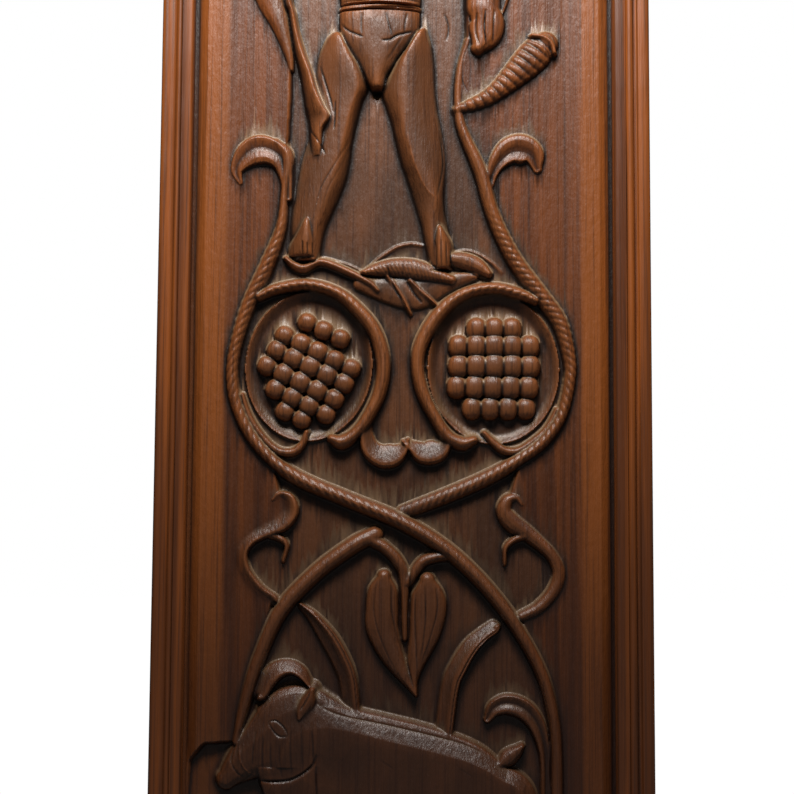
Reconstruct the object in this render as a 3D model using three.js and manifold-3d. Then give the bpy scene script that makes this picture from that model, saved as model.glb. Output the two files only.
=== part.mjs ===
// Carved wall panel: a tall softwood board carved in relief, held between two moulded stiles.
// Units are millimetres. X runs to the viewer's right and Z runs up. The carving faces -Y, and the
// origin is the middle of the flat back, where the panel meets the wall. A height in this file is
// the distance in front of that back.

import * as THREE from 'three';
import { mergeVertices } from 'three/addons/utils/BufferGeometryUtils.js';
import Module from 'manifold-3d';

const wasm = await Module();
wasm.setup();

// ---- driving dimensions ----

const PANEL_WIDTH = 305;
const PANEL_HEIGHT = 500;
const OVERCUT = 10;
const UNCUT_END = PANEL_HEIGHT / 2 + OVERCUT;
const LEFT_STILE_WIDTH = 19.5;
const RIGHT_STILE_WIDTH = 22.5;
const CLEARANCE = 0.3;

const TONGUE_LENGTH = 6;
const TONGUE_BACK = 6;
const TONGUE_FRONT = 16;
const SHADOW_GAP = 2.5;
const SHOULDER_HEIGHT = 18.5;
const EDGE_BEVEL = 6;

const MARGIN_HEIGHT = 22;
const MARGIN_BAND = 10;
const OUTER_GROUND = 19.5;
const GROUND_FALL = 12;
const FIELD_FLOOR = 16;
const MEDALLION_FLOOR = 14.5;
const LIMB_FOOT = 15.6;
const LIMB_ROOT = 9;
const BELT_HEIGHT = 28;
const STATION_STEP = 10;

// ---- cross-sections of the carved limbs, from one side to the other ----
// Each pair is the place across the limb, -1 to 1, and the share of its height.

const ROUND = [[-1, 0], [-0.82, 0.58], [-0.35, 0.95], [0.35, 0.95], [0.82, 0.58], [1, 0]];
const CORD = [[-1, 0], [-0.75, 0.67], [0, 1], [0.75, 0.67], [1, 0]];
const ARRIS = [[-1, 0], [0, 1], [1, 0]];
const LEAF = [[-1, 0], [-0.85, 0.7], [-0.5, 0.95], [-0.1, 0.6], [0.2, 1], [0.75, 0.75], [1, 0]];
const LIP = [[-1, 0], [-0.85, 0.75], [-0.55, 1], [0.2, 0.6], [1, 0.15]];
const BLADE = [[-1, 0], [-0.6, 0.6], [0.3, 1], [0.6, 0.7], [0.8, 0.9], [1, 0]];
const BODY = [[-1, 0], [-0.9, 0.8], [-0.4, 1], [0.6, 0.97], [0.8, 0.85], [0.92, 0.5], [1, 0]];
const LEFT_SHIN = [[-1, 0], [-0.85, 0.5], [-0.3, 0.82], [0.55, 1], [0.8, 0.75], [1, 0]];
const RIGHT_SHIN = LEFT_SHIN.map(([across, share]) => [-across, share]).reverse();

// ---- the vines and the scrolls they carry: x, z, width, crest height at each station ----

const LEFT_VINE = [
  [-81, 155, 6, 22.5], [-74, 146, 8.5, 23], [-75.5, 124, 5.5, 22.5], [-77.5, 101, 7.5, 23.5],
  [-86, 77, 10, 24.5], [-97.5, 51, 9.5, 24.5], [-105.5, 23, 8.5, 24.5], [-106.5, 4, 9, 24.5],
  [-103, -12, 9, 24.5], [-94, -30, 9, 24.5], [-80, -45.5, 9, 24.5], [-62, -57, 10, 24.5],
  [-35.5, -68, 10, 25], [1, -83, 10.5, 25.5], [30, -101.5, 10, 25], [54.5, -125.5, 9.5, 24.5],
  [73, -151, 9, 24.5], [86, -176, 8.5, 24.5], [92.5, -202, 8, 24], [94, -226, 8.5, 24],
  [94, -256, 9, 24],
];

const RIGHT_VINE = [
  [39, 222, 4, 19.8], [34.5, 203, 5, 20], [33, 186, 5, 20.5], [34.5, 170, 6.5, 21.5],
  [38.5, 158, 7.5, 22.5], [48, 136, 9.5, 23.5], [55.5, 109.5, 9.5, 24], [68, 83, 10.5, 24.5], [84.5, 60, 11, 24.5],
  [97, 42, 10.5, 24.5], [103, 19.5, 9, 24.5], [103, 6, 8.5, 24.5], [98, -15, 8.5, 24.5],
  [87, -31.5, 9, 24.5], [72, -43, 9, 24], [50, -55.5, 10, 23.5], [26, -66, 10, 22.5],
  [0, -76, 9, 20],
];

const LEFT_RING = [
  [-90.5, 57, 6], [-80, 62, 7.5], [-61, 65, 8], [-43, 60.5, 8], [-30, 50.5, 9],
  [-18.5, 36, 9.5], [-13, 17, 9.5], [-15, -2, 9], [-23, -19, 8.5], [-30.5, -28.5, 8.5],
  [-38, -33, 10], [-44.5, -31, 6],
];

const RIGHT_RING = [
  [81.5, 55.5, 6], [71.5, 60, 8], [55, 63.5, 8], [37, 59.5, 8.5], [22, 47.5, 9.5],
  [11, 29, 9.5], [8.5, 14, 8.5], [12, -3, 8.5], [20.5, -19.5, 8], [27.5, -29.5, 8.5],
  [36, -33.5, 9.5], [43.5, -31.5, 6],
];

const LEFT_TENDRIL = [
  [-100, -4, 3], [-95, -18.5, 4.5], [-87, -30.5, 5], [-78, -38.5, 5.5], [-68.5, -39.5, 5.5],
  [-62.5, -34.5, 5], [-60, -27, 3],
];

const RIGHT_TENDRIL = [
  [94.5, -12, 3], [88.5, -24, 4.5], [80, -32, 5], [70.5, -38, 5.5], [62, -37.5, 5.5],
  [55, -32.5, 5], [50, -27, 3],
];

const BRANCH = [
  [-17.5, -90, 11, 22.5], [-31, -97, 11, 24], [-53.5, -114, 10.5, 24], [-74.5, -137, 10.5, 24],
  [-87.5, -165, 9.5, 24], [-95, -190, 8.5, 23.5], [-101, -215.5, 5, 22.5],
];

const LEFT_SCROLL = [
  [-79.5, -130, 7.5, 21.5], [-88.5, -124, 8.5, 22], [-97, -113, 8.5, 22], [-99, -102, 8.5, 22],
  [-94, -93.5, 8.5, 22], [-84, -87.5, 10, 22], [-75, -83, 12, 22.5], [-69.5, -76.5, 11, 22.5],
  [-70.5, -69, 9, 22], [-75.5, -66.5, 6, 21], [-79.5, -69, 3, 20.5],
];

const LEFT_SCROLL_LOBE = [
  [-84.5, -89.5, 6, 21], [-76.5, -92, 5, 21], [-71.5, -97, 3.5, 20.5], [-73.5, -107, 2, 19.5],
];

const RIGHT_SCROLL = [
  [73, -139.5, 7.5, 21.5], [83.5, -134, 8.5, 22], [92.5, -124, 9, 22], [96, -112.5, 9, 22],
  [91.5, -102, 8.5, 22], [84, -94.5, 9.5, 22], [75.5, -87.5, 11.5, 22], [67, -81.5, 13, 22.5],
  [62.5, -75, 11, 22.5], [64.5, -68.5, 8.5, 22], [69.5, -67, 5.5, 21], [73, -71, 3, 20.5],
];

const RIGHT_SCROLL_LOBE = [
  [76.5, -90, 5, 21], [68.5, -92.5, 4.5, 21], [63, -98, 3.5, 20.5], [62.5, -108, 2, 19.5],
];

// ---- leaves ----

const LEFT_HOOK_LEAF = [
  [-73.5, 120, 5.5, 21], [-75, 133, 8.5, 22], [-78, 143, 14, 23], [-84.5, 148.5, 18, 23.5],
  [-92.5, 149.5, 20, 23.5], [-100, 145, 16, 23], [-105, 137, 8.5, 22], [-103, 129, 2.5, 21],
];

const RIGHT_HOOK_LEAF = [
  [52.5, 127.5, 5.5, 21], [54.5, 136, 8, 22], [58.5, 144, 12.5, 23], [65.5, 150.5, 18, 23.5],
  [73.5, 151.5, 20, 23.5], [80.5, 147.5, 15, 23], [83, 139, 6, 21.5],
];

const LOW_HOOK_LEAF = [
  [87, -256, 6, 20], [87, -231, 6, 20], [86, -218, 8, 20.5], [82, -205, 11, 21],
  [74.5, -196, 13, 21.5], [64.5, -192.5, 13, 21.5], [56.5, -195, 10.5, 21], [52, -201.5, 5, 20],
];

const LEFT_BLADE = [
  [-62.5, -133.5, 4, 20.5], [-54.5, -141, 8, 22], [-45.5, -153, 12, 23], [-38, -166, 12.5, 23],
  [-33, -179, 12, 22.5], [-30.5, -200, 11.5, 22],
];

const RIGHT_BLADE = [
  [55.5, -146, 9, 21], [48.5, -151, 9.5, 22], [41, -158.5, 11, 23], [34, -170, 12, 23],
  [29, -182.5, 12, 22.5], [25, -214, 11.5, 22],
];

const HEART_STEM_LEFT = [
  [-19, -93.5, 8.5, 22.5], [-11, -98, 8, 22.5], [-3.5, -105.5, 8, 22], [0.5, -114.5, 7.5, 21],
  [1, -132, 5, 20], [1.5, -153.5, 3.5, 19.5],
];

const HEART_STEM_RIGHT = [
  [27.5, -102.5, 7.5, 22.5], [19.5, -103.5, 7.5, 22.5], [11.5, -107, 7.5, 22], [3, -119, 6.5, 21],
];

const HEART_LEFT = [
  [-11.5, -115.5, 9], [-12, -123.5, 18.5], [-12.5, -136, 20.5], [-12, -148, 20], [-5.5, -164.5, 14.5],
  [5.5, -182.5, 5], [8.5, -187.5, 2],
];

const HEART_RIGHT = [
  [15, -117.5, 10], [15.5, -126, 20.5], [15.5, -136, 23], [13.5, -150, 19.5], [8.5, -167, 12],
  [7, -178, 6], [8.5, -187, 2],
];

// ---- the standing figure ----

const TORSO = [[-16.5, 262, 46.5], [-16.5, 241, 47.5]];
const BELT = [[-39.5, 243.5, 4.5], [-16.5, 243, 5], [7.5, 245, 4.5]];

const TRUNKS = [
  [-16.5, 242, 50], [-16.5, 232, 52], [-18, 223, 46.5], [-18, 215, 35], [-18.5, 206, 22.5],
  [-18.5, 196, 12.5], [-18, 189, 5],
];

const LEFT_LEG = [
  [-41.5, 222, 11.5, 24], [-42.5, 207.5, 25, 26.5], [-41, 193.5, 27.5, 27], [-42, 180.5, 26.5, 26.5],
  [-44.5, 166.5, 25.5, 26], [-47.5, 153.5, 27, 25.5], [-50, 139.5, 27.5, 25.5],
  [-54, 123.5, 25, 25], [-59, 109.5, 21, 25], [-61.5, 97, 20, 25.5], [-62.5, 85, 18.5, 25],
  [-63.5, 80, 15, 23.5],
];

const RIGHT_LEG = [
  [4.5, 219.5, 12, 24], [3.5, 206.5, 26, 26.5], [2.5, 192.5, 30, 27], [4, 178.5, 29.5, 26.5],
  [7.5, 163, 28.5, 26], [10.5, 149, 27, 26], [13.5, 135, 23.5, 25.5], [16, 122.5, 20, 24.5],
  [18, 110, 17.5, 24], [20.5, 97.5, 15, 24.5], [22.5, 86, 15, 25], [22.5, 77.5, 13, 23.5],
];

const SASH = [
  [-77, 262, 5.5], [-73, 238.5, 5], [-69.5, 225.5, 5.5], [-62.5, 200, 9], [-55.5, 174.5, 10.5],
  [-52.5, 161.5, 9], [-51.5, 151, 3],
];

const CLOAK = [
  [-90.5, 262, 22, 23], [-85.5, 245, 17.5, 22.5], [-80.5, 233, 13, 22.5], [-76.5, 221, 9, 22],
  [-73.5, 210, 6, 21.5], [-72, 202, 3, 20.5],
];

const HORN = [
  [33, 177, 5, 22], [40.5, 179.5, 8, 23], [50, 183.5, 10, 24], [59, 190, 12.5, 24.5],
  [68, 198.5, 16.5, 25], [76, 206.5, 20, 25.5], [83, 214, 20.5, 25.5], [88, 219, 16.5, 25],
];

const HORN_RIM = [[79.5, 223.5, 4], [86.5, 222.5, 4.5], [91.5, 218.5, 4.5], [93.5, 212.5, 3.5]];

const TASSEL = [[45.5, 216, 9], [49, 222.5, 19], [51, 229, 22.5], [51, 235, 21.5], [48.5, 241.5, 18]];
const TASSEL_TOP = [[49, 243, 21.5], [49, 262, 21.5]];
const TASSEL_CORD = [[69, 262, 4], [62.5, 243, 3], [60, 236.5, 2.5]];

// ---- the hillock under the feet ----

const LEFT_LEDGE = [
  [-74, 81.5, 3.5], [-69, 77.5, 5.5], [-62.5, 75.5, 6], [-52, 79.5, 5], [-36.5, 74, 5],
  [-22, 66.5, 4.5], [-16.5, 61.5, 2.5],
];
const MIDDLE_HUMP = [[-26.5, 72.5, 3], [-15, 75, 10], [-3, 76, 12.5], [10, 74, 13], [29.5, 68.5, 6]];
const RIGHT_HUMP = [[29.5, 82, 8.5], [37.5, 80.5, 11], [45.5, 77.5, 10], [52.5, 72.5, 5]];
const HILLOCK = [[-28, 66, 8], [-8, 62, 18], [8, 61, 22], [24, 66, 14], [44, 72, 6]];
const GRASS = [
  [[-10.5, 70.5, 6.5], [-5, 63.5, 7.5], [0, 55.5, 6.5], [4, 47, 2.5]],
  [[3.5, 68, 6.5], [9.5, 62, 7.5], [16, 56.5, 6.5], [21, 51.5, 2.5]],
];

// ---- the scalloped bracket between the rings ----

const LEFT_SCALLOP = [
  [-21.5, -16.5, 5], [-23, -27, 8], [-20.5, -37, 12], [-13, -42, 14.5], [-6, -41, 14.5],
  [-0.5, -37, 8.5], [2.5, -31.5, 3],
];
const RIGHT_SCALLOP = [
  [0, -32.5, 3], [6, -36, 8.5], [12.5, -39.5, 14.5], [20.5, -38.5, 14.5], [25.5, -34, 9],
  [25, -27, 5],
];

// ---- the horse ----

const HORSE_BODY = [
  [-50, -230, 76], [-40, -230.5, 76], [-7, -240, 80.5], [17, -244.5, 77], [41, -248.5, 67],
  [60, -252, 46],
];
const HORSE_HEAD = [
  [-40, -215, 42, 26.5], [-52, -209, 46, 27], [-64, -206, 50, 27], [-76, -215, 45, 26.5],
  [-89.5, -223.5, 31.5, 25.5], [-98.5, -230.5, 21.5, 24.5], [-106, -238, 13, 23],
];
const FORELOCK = [
  [-86, -186, 11], [-81.5, -178, 12], [-75.5, -172.5, 11], [-68, -171, 9], [-61.5, -174, 7.5],
  [-56, -181, 4],
];
const EAR = [[-54.5, -184, 4], [-57, -191, 10], [-60.5, -197, 9], [-62, -201, 4]];
const TAIL = [[59.5, -228, 6], [64, -225, 11], [69, -221, 9], [72.5, -217.5, 4.5]];

// ---- the medallions and their grapes ----

const LEFT_MEDALLION = { x: -59, z: 14, width: 78, height: 92, tilt: 0.1 };
const RIGHT_MEDALLION = { x: 55.5, z: 13, width: 80, height: 92, tilt: -0.05 };
const MEDALLION_WALL = 4;

const LEFT_GRAPES = {
  berry: [6, 5.5],
  step: [10.4, -5.1],
  rows: [[-61.5, 41, 3], [-74.5, 33, 5], [-79, 24, 5], [-85, 14, 5], [-79.5, -0.5, 4], [-73.5, -14, 2]],
};
const RIGHT_GRAPES = {
  berry: [5.7, 6.4],
  step: [11, 0],
  rows: [[45, 38, 3], [34, 27, 5], [34, 14.5, 5], [33, 1.5, 5], [42.5, -12, 4]],
};
const BUNCH_HEIGHT = 16;
const BERRY_OUT = 5.5;
const BERRY_SWELL = 2.5;

// ---- solids and geometries ----

function solidOf(geometry) {
  const bare = geometry.index ? geometry.clone() : geometry;
  bare.deleteAttribute('normal');
  bare.deleteAttribute('uv');
  const merged = mergeVertices(bare, 1e-4);
  return new wasm.Manifold(new wasm.Mesh({
    numProp: 3,
    vertProperties: new Float32Array(merged.attributes.position.array),
    triVerts: new Uint32Array(merged.index.array),
  }));
}

function geometryOf(solid) {
  const mesh = solid.getMesh();
  const geometry = new THREE.BufferGeometry();
  geometry.setAttribute('position', new THREE.BufferAttribute(mesh.vertProperties, 3));
  geometry.setIndex(new THREE.BufferAttribute(mesh.triVerts, 1));
  return geometry;
}

// A length of moulding: an outline of [x, height] points drawn out along Z and centred on z = 0.
function moulding(outline, length) {
  const shape = new THREE.Shape(outline.map(([x, height]) => new THREE.Vector2(x, height)));
  const geometry = new THREE.ExtrudeGeometry(shape, { depth: length, bevelEnabled: false });
  geometry.translate(0, 0, -length / 2);
  geometry.applyMatrix4(new THREE.Matrix4().makeScale(1, -1, 1));
  return flipped(geometry);
}

// A mirrored geometry has its faces turned inside out, so each triangle is wound the other way.
function flipped(geometry) {
  const bare = geometry.clone();
  bare.deleteAttribute('normal');
  bare.deleteAttribute('uv');
  const merged = mergeVertices(bare, 1e-4);
  const index = merged.index.array;
  for (let i = 0; i < index.length; i += 3) {
    [index[i], index[i + 1]] = [index[i + 1], index[i]];
  }
  return merged;
}

// Smooth stations along a limb, about STATION_STEP apart.
function stationsAlong(stations) {
  const places = stations.map(([x, z]) => new THREE.Vector3(x, 0, z));
  const sizes = stations.map(([, , width, crest]) => new THREE.Vector3(width, crest, 0));
  const path = new THREE.CatmullRomCurve3(places, false, 'catmullrom', 0.5);
  const size = new THREE.CatmullRomCurve3(sizes, false, 'catmullrom', 0.5);
  const spans = stations.length - 1;
  const result = [];
  for (let span = 0; span < spans; span++) {
    const steps = Math.max(1, Math.round(places[span].distanceTo(places[span + 1]) / STATION_STEP));
    const last = span === spans - 1 ? steps : steps - 1;
    for (let i = 0; i <= last; i++) {
      const t = (span + i / steps) / spans;
      const { x: width, y: crest } = size.getPoint(t);
      result.push({ centre: path.getPoint(t), along: path.getTangent(t), width, crest });
    }
  }
  return result;
}

// A carved limb: one cross-section swept along its stations, rooted inside the board.
function limb(stations, crest, profile = CORD, foot = LIMB_FOOT) {
  const rows = stationsAlong(stations.map(([x, z, width, top = crest]) => [x, z, width, top]));
  const section = [[-1, LIMB_ROOT], ...profile, [1, LIMB_ROOT]];
  const positions = [];
  for (const row of rows) {
    section.forEach(([across, share], i) => {
      const rooted = i === 0 || i === section.length - 1;
      const height = rooted ? LIMB_ROOT : foot + (row.crest - foot) * share;
      const offset = across * row.width / 2;
      positions.push(row.centre.x - row.along.z * offset, -height, row.centre.z + row.along.x * offset);
    });
  }
  return solidOf(sweptGeometry(positions, rows.length, section.length));
}

// Closes a grid of section points into a tube with flat ends.
function sweptGeometry(positions, rows, columns) {
  const index = [];
  for (let row = 0; row < rows - 1; row++) {
    for (let column = 0; column < columns; column++) {
      const next = (column + 1) % columns;
      const a = row * columns + column;
      const b = row * columns + next;
      index.push(a, a + columns, b, b, a + columns, b + columns);
    }
  }
  const lastRow = (rows - 1) * columns;
  for (let column = 1; column < columns - 1; column++) {
    index.push(0, column, column + 1);
    index.push(lastRow, lastRow + column + 1, lastRow + column);
  }
  const geometry = new THREE.BufferGeometry();
  geometry.setAttribute('position', new THREE.Float32BufferAttribute(positions, 3));
  geometry.setIndex(index);
  return geometry;
}

// ---- the board and its recesses ----

function boardSection() {
  const left = -PANEL_WIDTH / 2 + LEFT_STILE_WIDTH;
  const right = PANEL_WIDTH / 2 - RIGHT_STILE_WIDTH;
  return [
    ...boardEdge(left, 1),
    ...boardEdge(right, -1).reverse(),
  ];
}

// One edge of the board from the back to the ground; inward is 1 at the left and -1 at the right.
function boardEdge(stileFace, inward) {
  const shoulder = stileFace + inward * SHADOW_GAP;
  const back = stileFace + inward * CLEARANCE;
  const tongue = stileFace - inward * TONGUE_LENGTH;
  const bevelTop = shoulder + inward * EDGE_BEVEL;
  const bandEnd = bevelTop + inward * MARGIN_BAND;
  return [
    [back, 0],
    [back, TONGUE_BACK],
    [tongue, TONGUE_BACK],
    [tongue, TONGUE_FRONT],
    [shoulder, TONGUE_FRONT],
    [shoulder, SHOULDER_HEIGHT],
    [bevelTop, MARGIN_HEIGHT],
    [bandEnd, MARGIN_HEIGHT],
    [bandEnd + inward * GROUND_FALL, OUTER_GROUND],
  ];
}

// A flat-floored recess with upright walls, inside a closed outline of [x, z] points.
function recess(outline, floor) {
  const shape = new THREE.Shape(outline.map(([x, z]) => new THREE.Vector2(x, z)));
  const depth = MARGIN_HEIGHT - floor + OVERCUT;
  const geometry = new THREE.ExtrudeGeometry(shape, { depth, bevelEnabled: false });
  geometry.rotateX(Math.PI / 2);
  geometry.translate(0, -floor, 0);
  return solidOf(geometry);
}

// An oval recess whose wall slopes in to a smaller floor.
function medallion({ x, z, width, height, tilt }) {
  const depth = FIELD_FLOOR + 2 - MEDALLION_FLOOR;
  const floorShare = 1 - 2 * MEDALLION_WALL / width;
  const geometry = new THREE.CylinderGeometry(floorShare / 2, 0.5, depth, 28);
  geometry.scale(width, 1, height);
  geometry.rotateY(tilt);
  geometry.translate(x, -MEDALLION_FLOOR - depth / 2, z);
  return solidOf(geometry);
}

function placesOf(stations) {
  return stations.map(([x, z]) => [x, z]);
}

// The sunk ground inside the vines: its outline runs under the middles of the outermost limbs.
function fieldOutline() {
  const leftVine = placesOf(LEFT_VINE);
  const rightVine = placesOf(RIGHT_VINE);
  return [
    [-88, UNCUT_END],
    ...placesOf(CLOAK).slice(1),
    [-72.2, 185.5],
    [-73.2, 166],
    ...leftVine.slice(1, 11),
    ...placesOf(LEFT_SCROLL).slice(0, -1).reverse(),
    ...placesOf(BRANCH).slice(4),
    [-122, -222],
    [-124, -UNCUT_END],
    ...leftVine.slice(16).reverse(),
    ...placesOf(RIGHT_SCROLL).slice(0, -2),
    ...rightVine.slice(1, 15).reverse(),
    [38, 220],
    [39, UNCUT_END],
  ];
}

// ---- grapes ----

// Rows of berries, highest in the middle of the bunch. A berry's radii are along and across its row.
function bunch({ berry: [along, across], step, rows }) {
  const places = rows.flatMap(([x, z, count]) =>
    Array.from({ length: count }, (_, i) => [x + step[0] * i, z + step[1] * i]));
  const middleX = places.reduce((sum, [x]) => sum + x, 0) / places.length;
  const middleZ = places.reduce((sum, [, z]) => sum + z, 0) / places.length;
  const reach = Math.max(...places.map(([x, z]) => Math.hypot(x - middleX, z - middleZ)));
  return places.map(([x, z]) => {
    const outward = Math.hypot(x - middleX, z - middleZ) / reach;
    const geometry = new THREE.SphereGeometry(1, 7, 4);
    geometry.scale(along, BERRY_OUT, across);
    geometry.rotateY(Math.atan2(-step[1], step[0]));
    geometry.translate(x, -BUNCH_HEIGHT - BERRY_SWELL * (1 - outward * outward), z);
    return solidOf(geometry);
  });
}

// ---- the carved board ----

function vines() {
  return [
    limb(RIGHT_VINE),
    limb(LEFT_VINE),
    limb(LEFT_RING, 24),
    limb(RIGHT_RING, 24),
    limb(LEFT_TENDRIL, 20.5, ARRIS),
    limb(RIGHT_TENDRIL, 20.5, ARRIS),
    limb(BRANCH),
    limb(LEFT_SCROLL),
    limb(LEFT_SCROLL_LOBE, 21, ARRIS),
    limb(RIGHT_SCROLL),
    limb(RIGHT_SCROLL_LOBE, 21, ARRIS),
  ];
}

function leaves() {
  return [
    limb(LEFT_HOOK_LEAF, 23, LEAF, OUTER_GROUND - 1),
    limb(RIGHT_HOOK_LEAF, 23, LEAF, OUTER_GROUND - 1),
    limb(LOW_HOOK_LEAF, 21, LEAF),
    limb(LEFT_BLADE, 22, BLADE),
    limb(RIGHT_BLADE, 22, BLADE),
    limb(HEART_STEM_LEFT),
    limb(HEART_STEM_RIGHT),
    limb(HEART_LEFT, 22, ROUND),
    limb(HEART_RIGHT, 22, ROUND),
  ];
}

function figure() {
  return [
    limb(CLOAK, 22, ROUND),
    limb(SASH, 25.5),
    limb(LEFT_LEG, 26, LEFT_SHIN),
    limb(RIGHT_LEG, 26, RIGHT_SHIN),
    limb(TORSO, 26.5, ROUND),
    limb(TRUNKS, 27.5, ROUND),
    limb(BELT, BELT_HEIGHT, CORD, 20),
    limb(HORN, 25, ROUND),
    limb(HORN_RIM, 26),
    limb(TASSEL, 26, ROUND),
    limb(TASSEL_TOP, 25, ROUND),
    limb(TASSEL_CORD, 21.5, ARRIS),
  ];
}

function hillock() {
  return [
    limb(HILLOCK, 19, ROUND),
    limb(LEFT_LEDGE, 21.5),
    limb(MIDDLE_HUMP, 22.5, ROUND),
    limb(RIGHT_HUMP, 22, ROUND),
    ...GRASS.map((blade) => limb(blade, 20.5, ARRIS)),
  ];
}

function bracket() {
  return [
    limb(LEFT_SCALLOP, 21.5, LIP),
    limb(RIGHT_SCALLOP, 21.5, LIP),
  ];
}

function horse() {
  return [
    limb(HORSE_BODY, 27.5, BODY),
    limb(HORSE_HEAD, 26, ROUND),
    limb(FORELOCK, 23.5),
    limb(EAR, 28.5, ARRIS, 22),
    limb(TAIL, 23),
  ];
}

function carvedBoard() {
  let board = solidOf(moulding(boardSection(), 2 * UNCUT_END));
  board = board.subtract(recess(fieldOutline(), FIELD_FLOOR));
  for (const oval of [LEFT_MEDALLION, RIGHT_MEDALLION]) {
    board = board.subtract(medallion(oval));
  }
  const carving = [
    ...vines(), ...leaves(), ...hillock(), ...figure(), ...bracket(), ...horse(),
    ...bunch(LEFT_GRAPES), ...bunch(RIGHT_GRAPES),
  ];
  for (const solid of carving) {
    board = board.add(solid);
  }
  const ends = new THREE.BoxGeometry(PANEL_WIDTH, 2 * (BELT_HEIGHT + OVERCUT), PANEL_HEIGHT);
  return geometryOf(board.intersect(solidOf(ends)));
}

// ---- the stiles ----

// The moulded front of each stile: distance in from the outer edge, and height.
const LEFT_MOULDING = [
  [0, 27], [1, 29], [2.5, 29.4], [4, 29], [5.5, 28], [7.5, 27.7], [9, 28], [9.8, 29.5], [11, 30],
  [12.2, 29.5], [12.6, 28.6], [13, 29.4], [18.2, 29.6], [LEFT_STILE_WIDTH, 28.4],
];
const RIGHT_MOULDING = [
  [0, 26.5], [0.9, 28], [4, 28.4], [7.2, 28], [8, 26.4], [9.6, 26.2], [10.4, 28.6], [11.4, 29.7],
  [12.6, 30], [13.8, 29.7], [14.7, 28.8], [15, 28.2], [15.4, 29.2], [21.2, 29.5],
  [RIGHT_STILE_WIDTH, 28.2],
];

function stile(front, width, outerEdge, inward) {
  const grooveDepth = TONGUE_LENGTH + CLEARANCE;
  const section = [
    [0, 0],
    ...front,
    [width, TONGUE_FRONT + CLEARANCE],
    [width - grooveDepth, TONGUE_FRONT + CLEARANCE],
    [width - grooveDepth, TONGUE_BACK - CLEARANCE],
    [width, TONGUE_BACK - CLEARANCE],
    [width, 0],
  ];
  return moulding(section.map(([x, height]) => [outerEdge + inward * x, height]), PANEL_HEIGHT);
}

// ---- materials and assembly ----

const stainedBoard = new THREE.MeshStandardMaterial({ color: 0x5a3722, roughness: 0.55, metalness: 0 });
const stainedStile = new THREE.MeshStandardMaterial({ color: 0x6b3f22, roughness: 0.5, metalness: 0 });

function piece(name, geometry, material) {
  const mesh = new THREE.Mesh(geometry, material);
  mesh.name = name;
  return mesh;
}

const halfWidth = PANEL_WIDTH / 2;
const group = new THREE.Group();
group.add(piece('carved_panel', carvedBoard(), stainedBoard));
group.add(piece('left_stile', stile(LEFT_MOULDING, LEFT_STILE_WIDTH, -halfWidth, 1), stainedStile));
group.add(piece('right_stile', stile(RIGHT_MOULDING, RIGHT_STILE_WIDTH, halfWidth, -1), stainedStile));

export default group;
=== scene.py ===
"""Carved wall panel: the finished looks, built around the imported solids.

The board's front is one height field, in millimetres in front of the back, on a fine grid. Carved
limbs are swept over it along smooth paths, tall bodies are laid on it row by row, and folds are cut
into it. The whole is then closed into a solid board. X runs right, Z runs up and the carving faces -Y.
"""

import math

import bpy
import numpy as np
from mathutils import Matrix, Vector


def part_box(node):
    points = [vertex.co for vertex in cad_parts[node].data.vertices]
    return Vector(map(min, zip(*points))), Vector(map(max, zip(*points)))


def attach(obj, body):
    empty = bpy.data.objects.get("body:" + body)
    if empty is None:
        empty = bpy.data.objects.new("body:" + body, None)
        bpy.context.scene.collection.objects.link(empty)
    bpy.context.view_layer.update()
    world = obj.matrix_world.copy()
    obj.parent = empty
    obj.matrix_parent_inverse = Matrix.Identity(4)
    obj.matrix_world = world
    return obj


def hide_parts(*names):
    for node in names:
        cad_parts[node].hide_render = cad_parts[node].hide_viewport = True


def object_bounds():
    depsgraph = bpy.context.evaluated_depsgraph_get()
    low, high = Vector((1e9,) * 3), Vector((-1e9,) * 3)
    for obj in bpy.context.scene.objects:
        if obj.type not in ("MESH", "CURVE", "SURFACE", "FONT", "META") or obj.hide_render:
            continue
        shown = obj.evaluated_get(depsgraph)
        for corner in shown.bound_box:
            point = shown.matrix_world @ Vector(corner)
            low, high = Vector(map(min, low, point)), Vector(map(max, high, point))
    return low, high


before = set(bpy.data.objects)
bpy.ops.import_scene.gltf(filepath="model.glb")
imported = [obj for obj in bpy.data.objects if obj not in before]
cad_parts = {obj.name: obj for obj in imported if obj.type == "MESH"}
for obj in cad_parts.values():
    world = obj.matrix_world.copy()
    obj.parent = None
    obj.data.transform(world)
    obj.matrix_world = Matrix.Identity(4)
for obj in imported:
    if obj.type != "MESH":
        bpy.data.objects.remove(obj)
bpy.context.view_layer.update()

MM = 0.001
CELL = 0.5
BOARD_TRIANGLES = 195000
STILE_STEPS = 250
STILE_TOP = 30
STILE_WAVER = 0.12
STILE_WAVES = 26
SEED = 11
SHARP_ANGLE = math.radians(50)

# ---- levels of the board, in mm in front of its back ----

CLEARANCE = 0.3
TONGUE_LENGTH = 6
TONGUE_BACK = 6
TONGUE_FRONT = 16
SHADOW_GAP = 2.5
SHOULDER_HEIGHT = 18.5
EDGE_BEVEL = 6
MARGIN_HEIGHT = 22
MARGIN_BAND = 10
OUTER_GROUND = 19.5
GROUND_FALL = 12
FIELD_FLOOR = 16
MEDALLION_FLOOR = 14.5
MEDALLION_RIM = 18.5
MEDALLION_COVE = 7
FILLET_REACH = 2.5
FILLET_SLOPE = 1.5
BUNCH_HEIGHT = 16
BERRY_OUT = 5.5
BERRY_SWELL = 2.5
BERRY_REACH = 9
OUTER_FOOT = OUTER_GROUND - 1
OVERCUT = 12

FAR_OUTSIDE = 9
TWIST_FADE = 0.08
GROOVE_FADE = 0.22


def millimetres(node):
    low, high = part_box(node)
    return low / MM, high / MM


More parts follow.
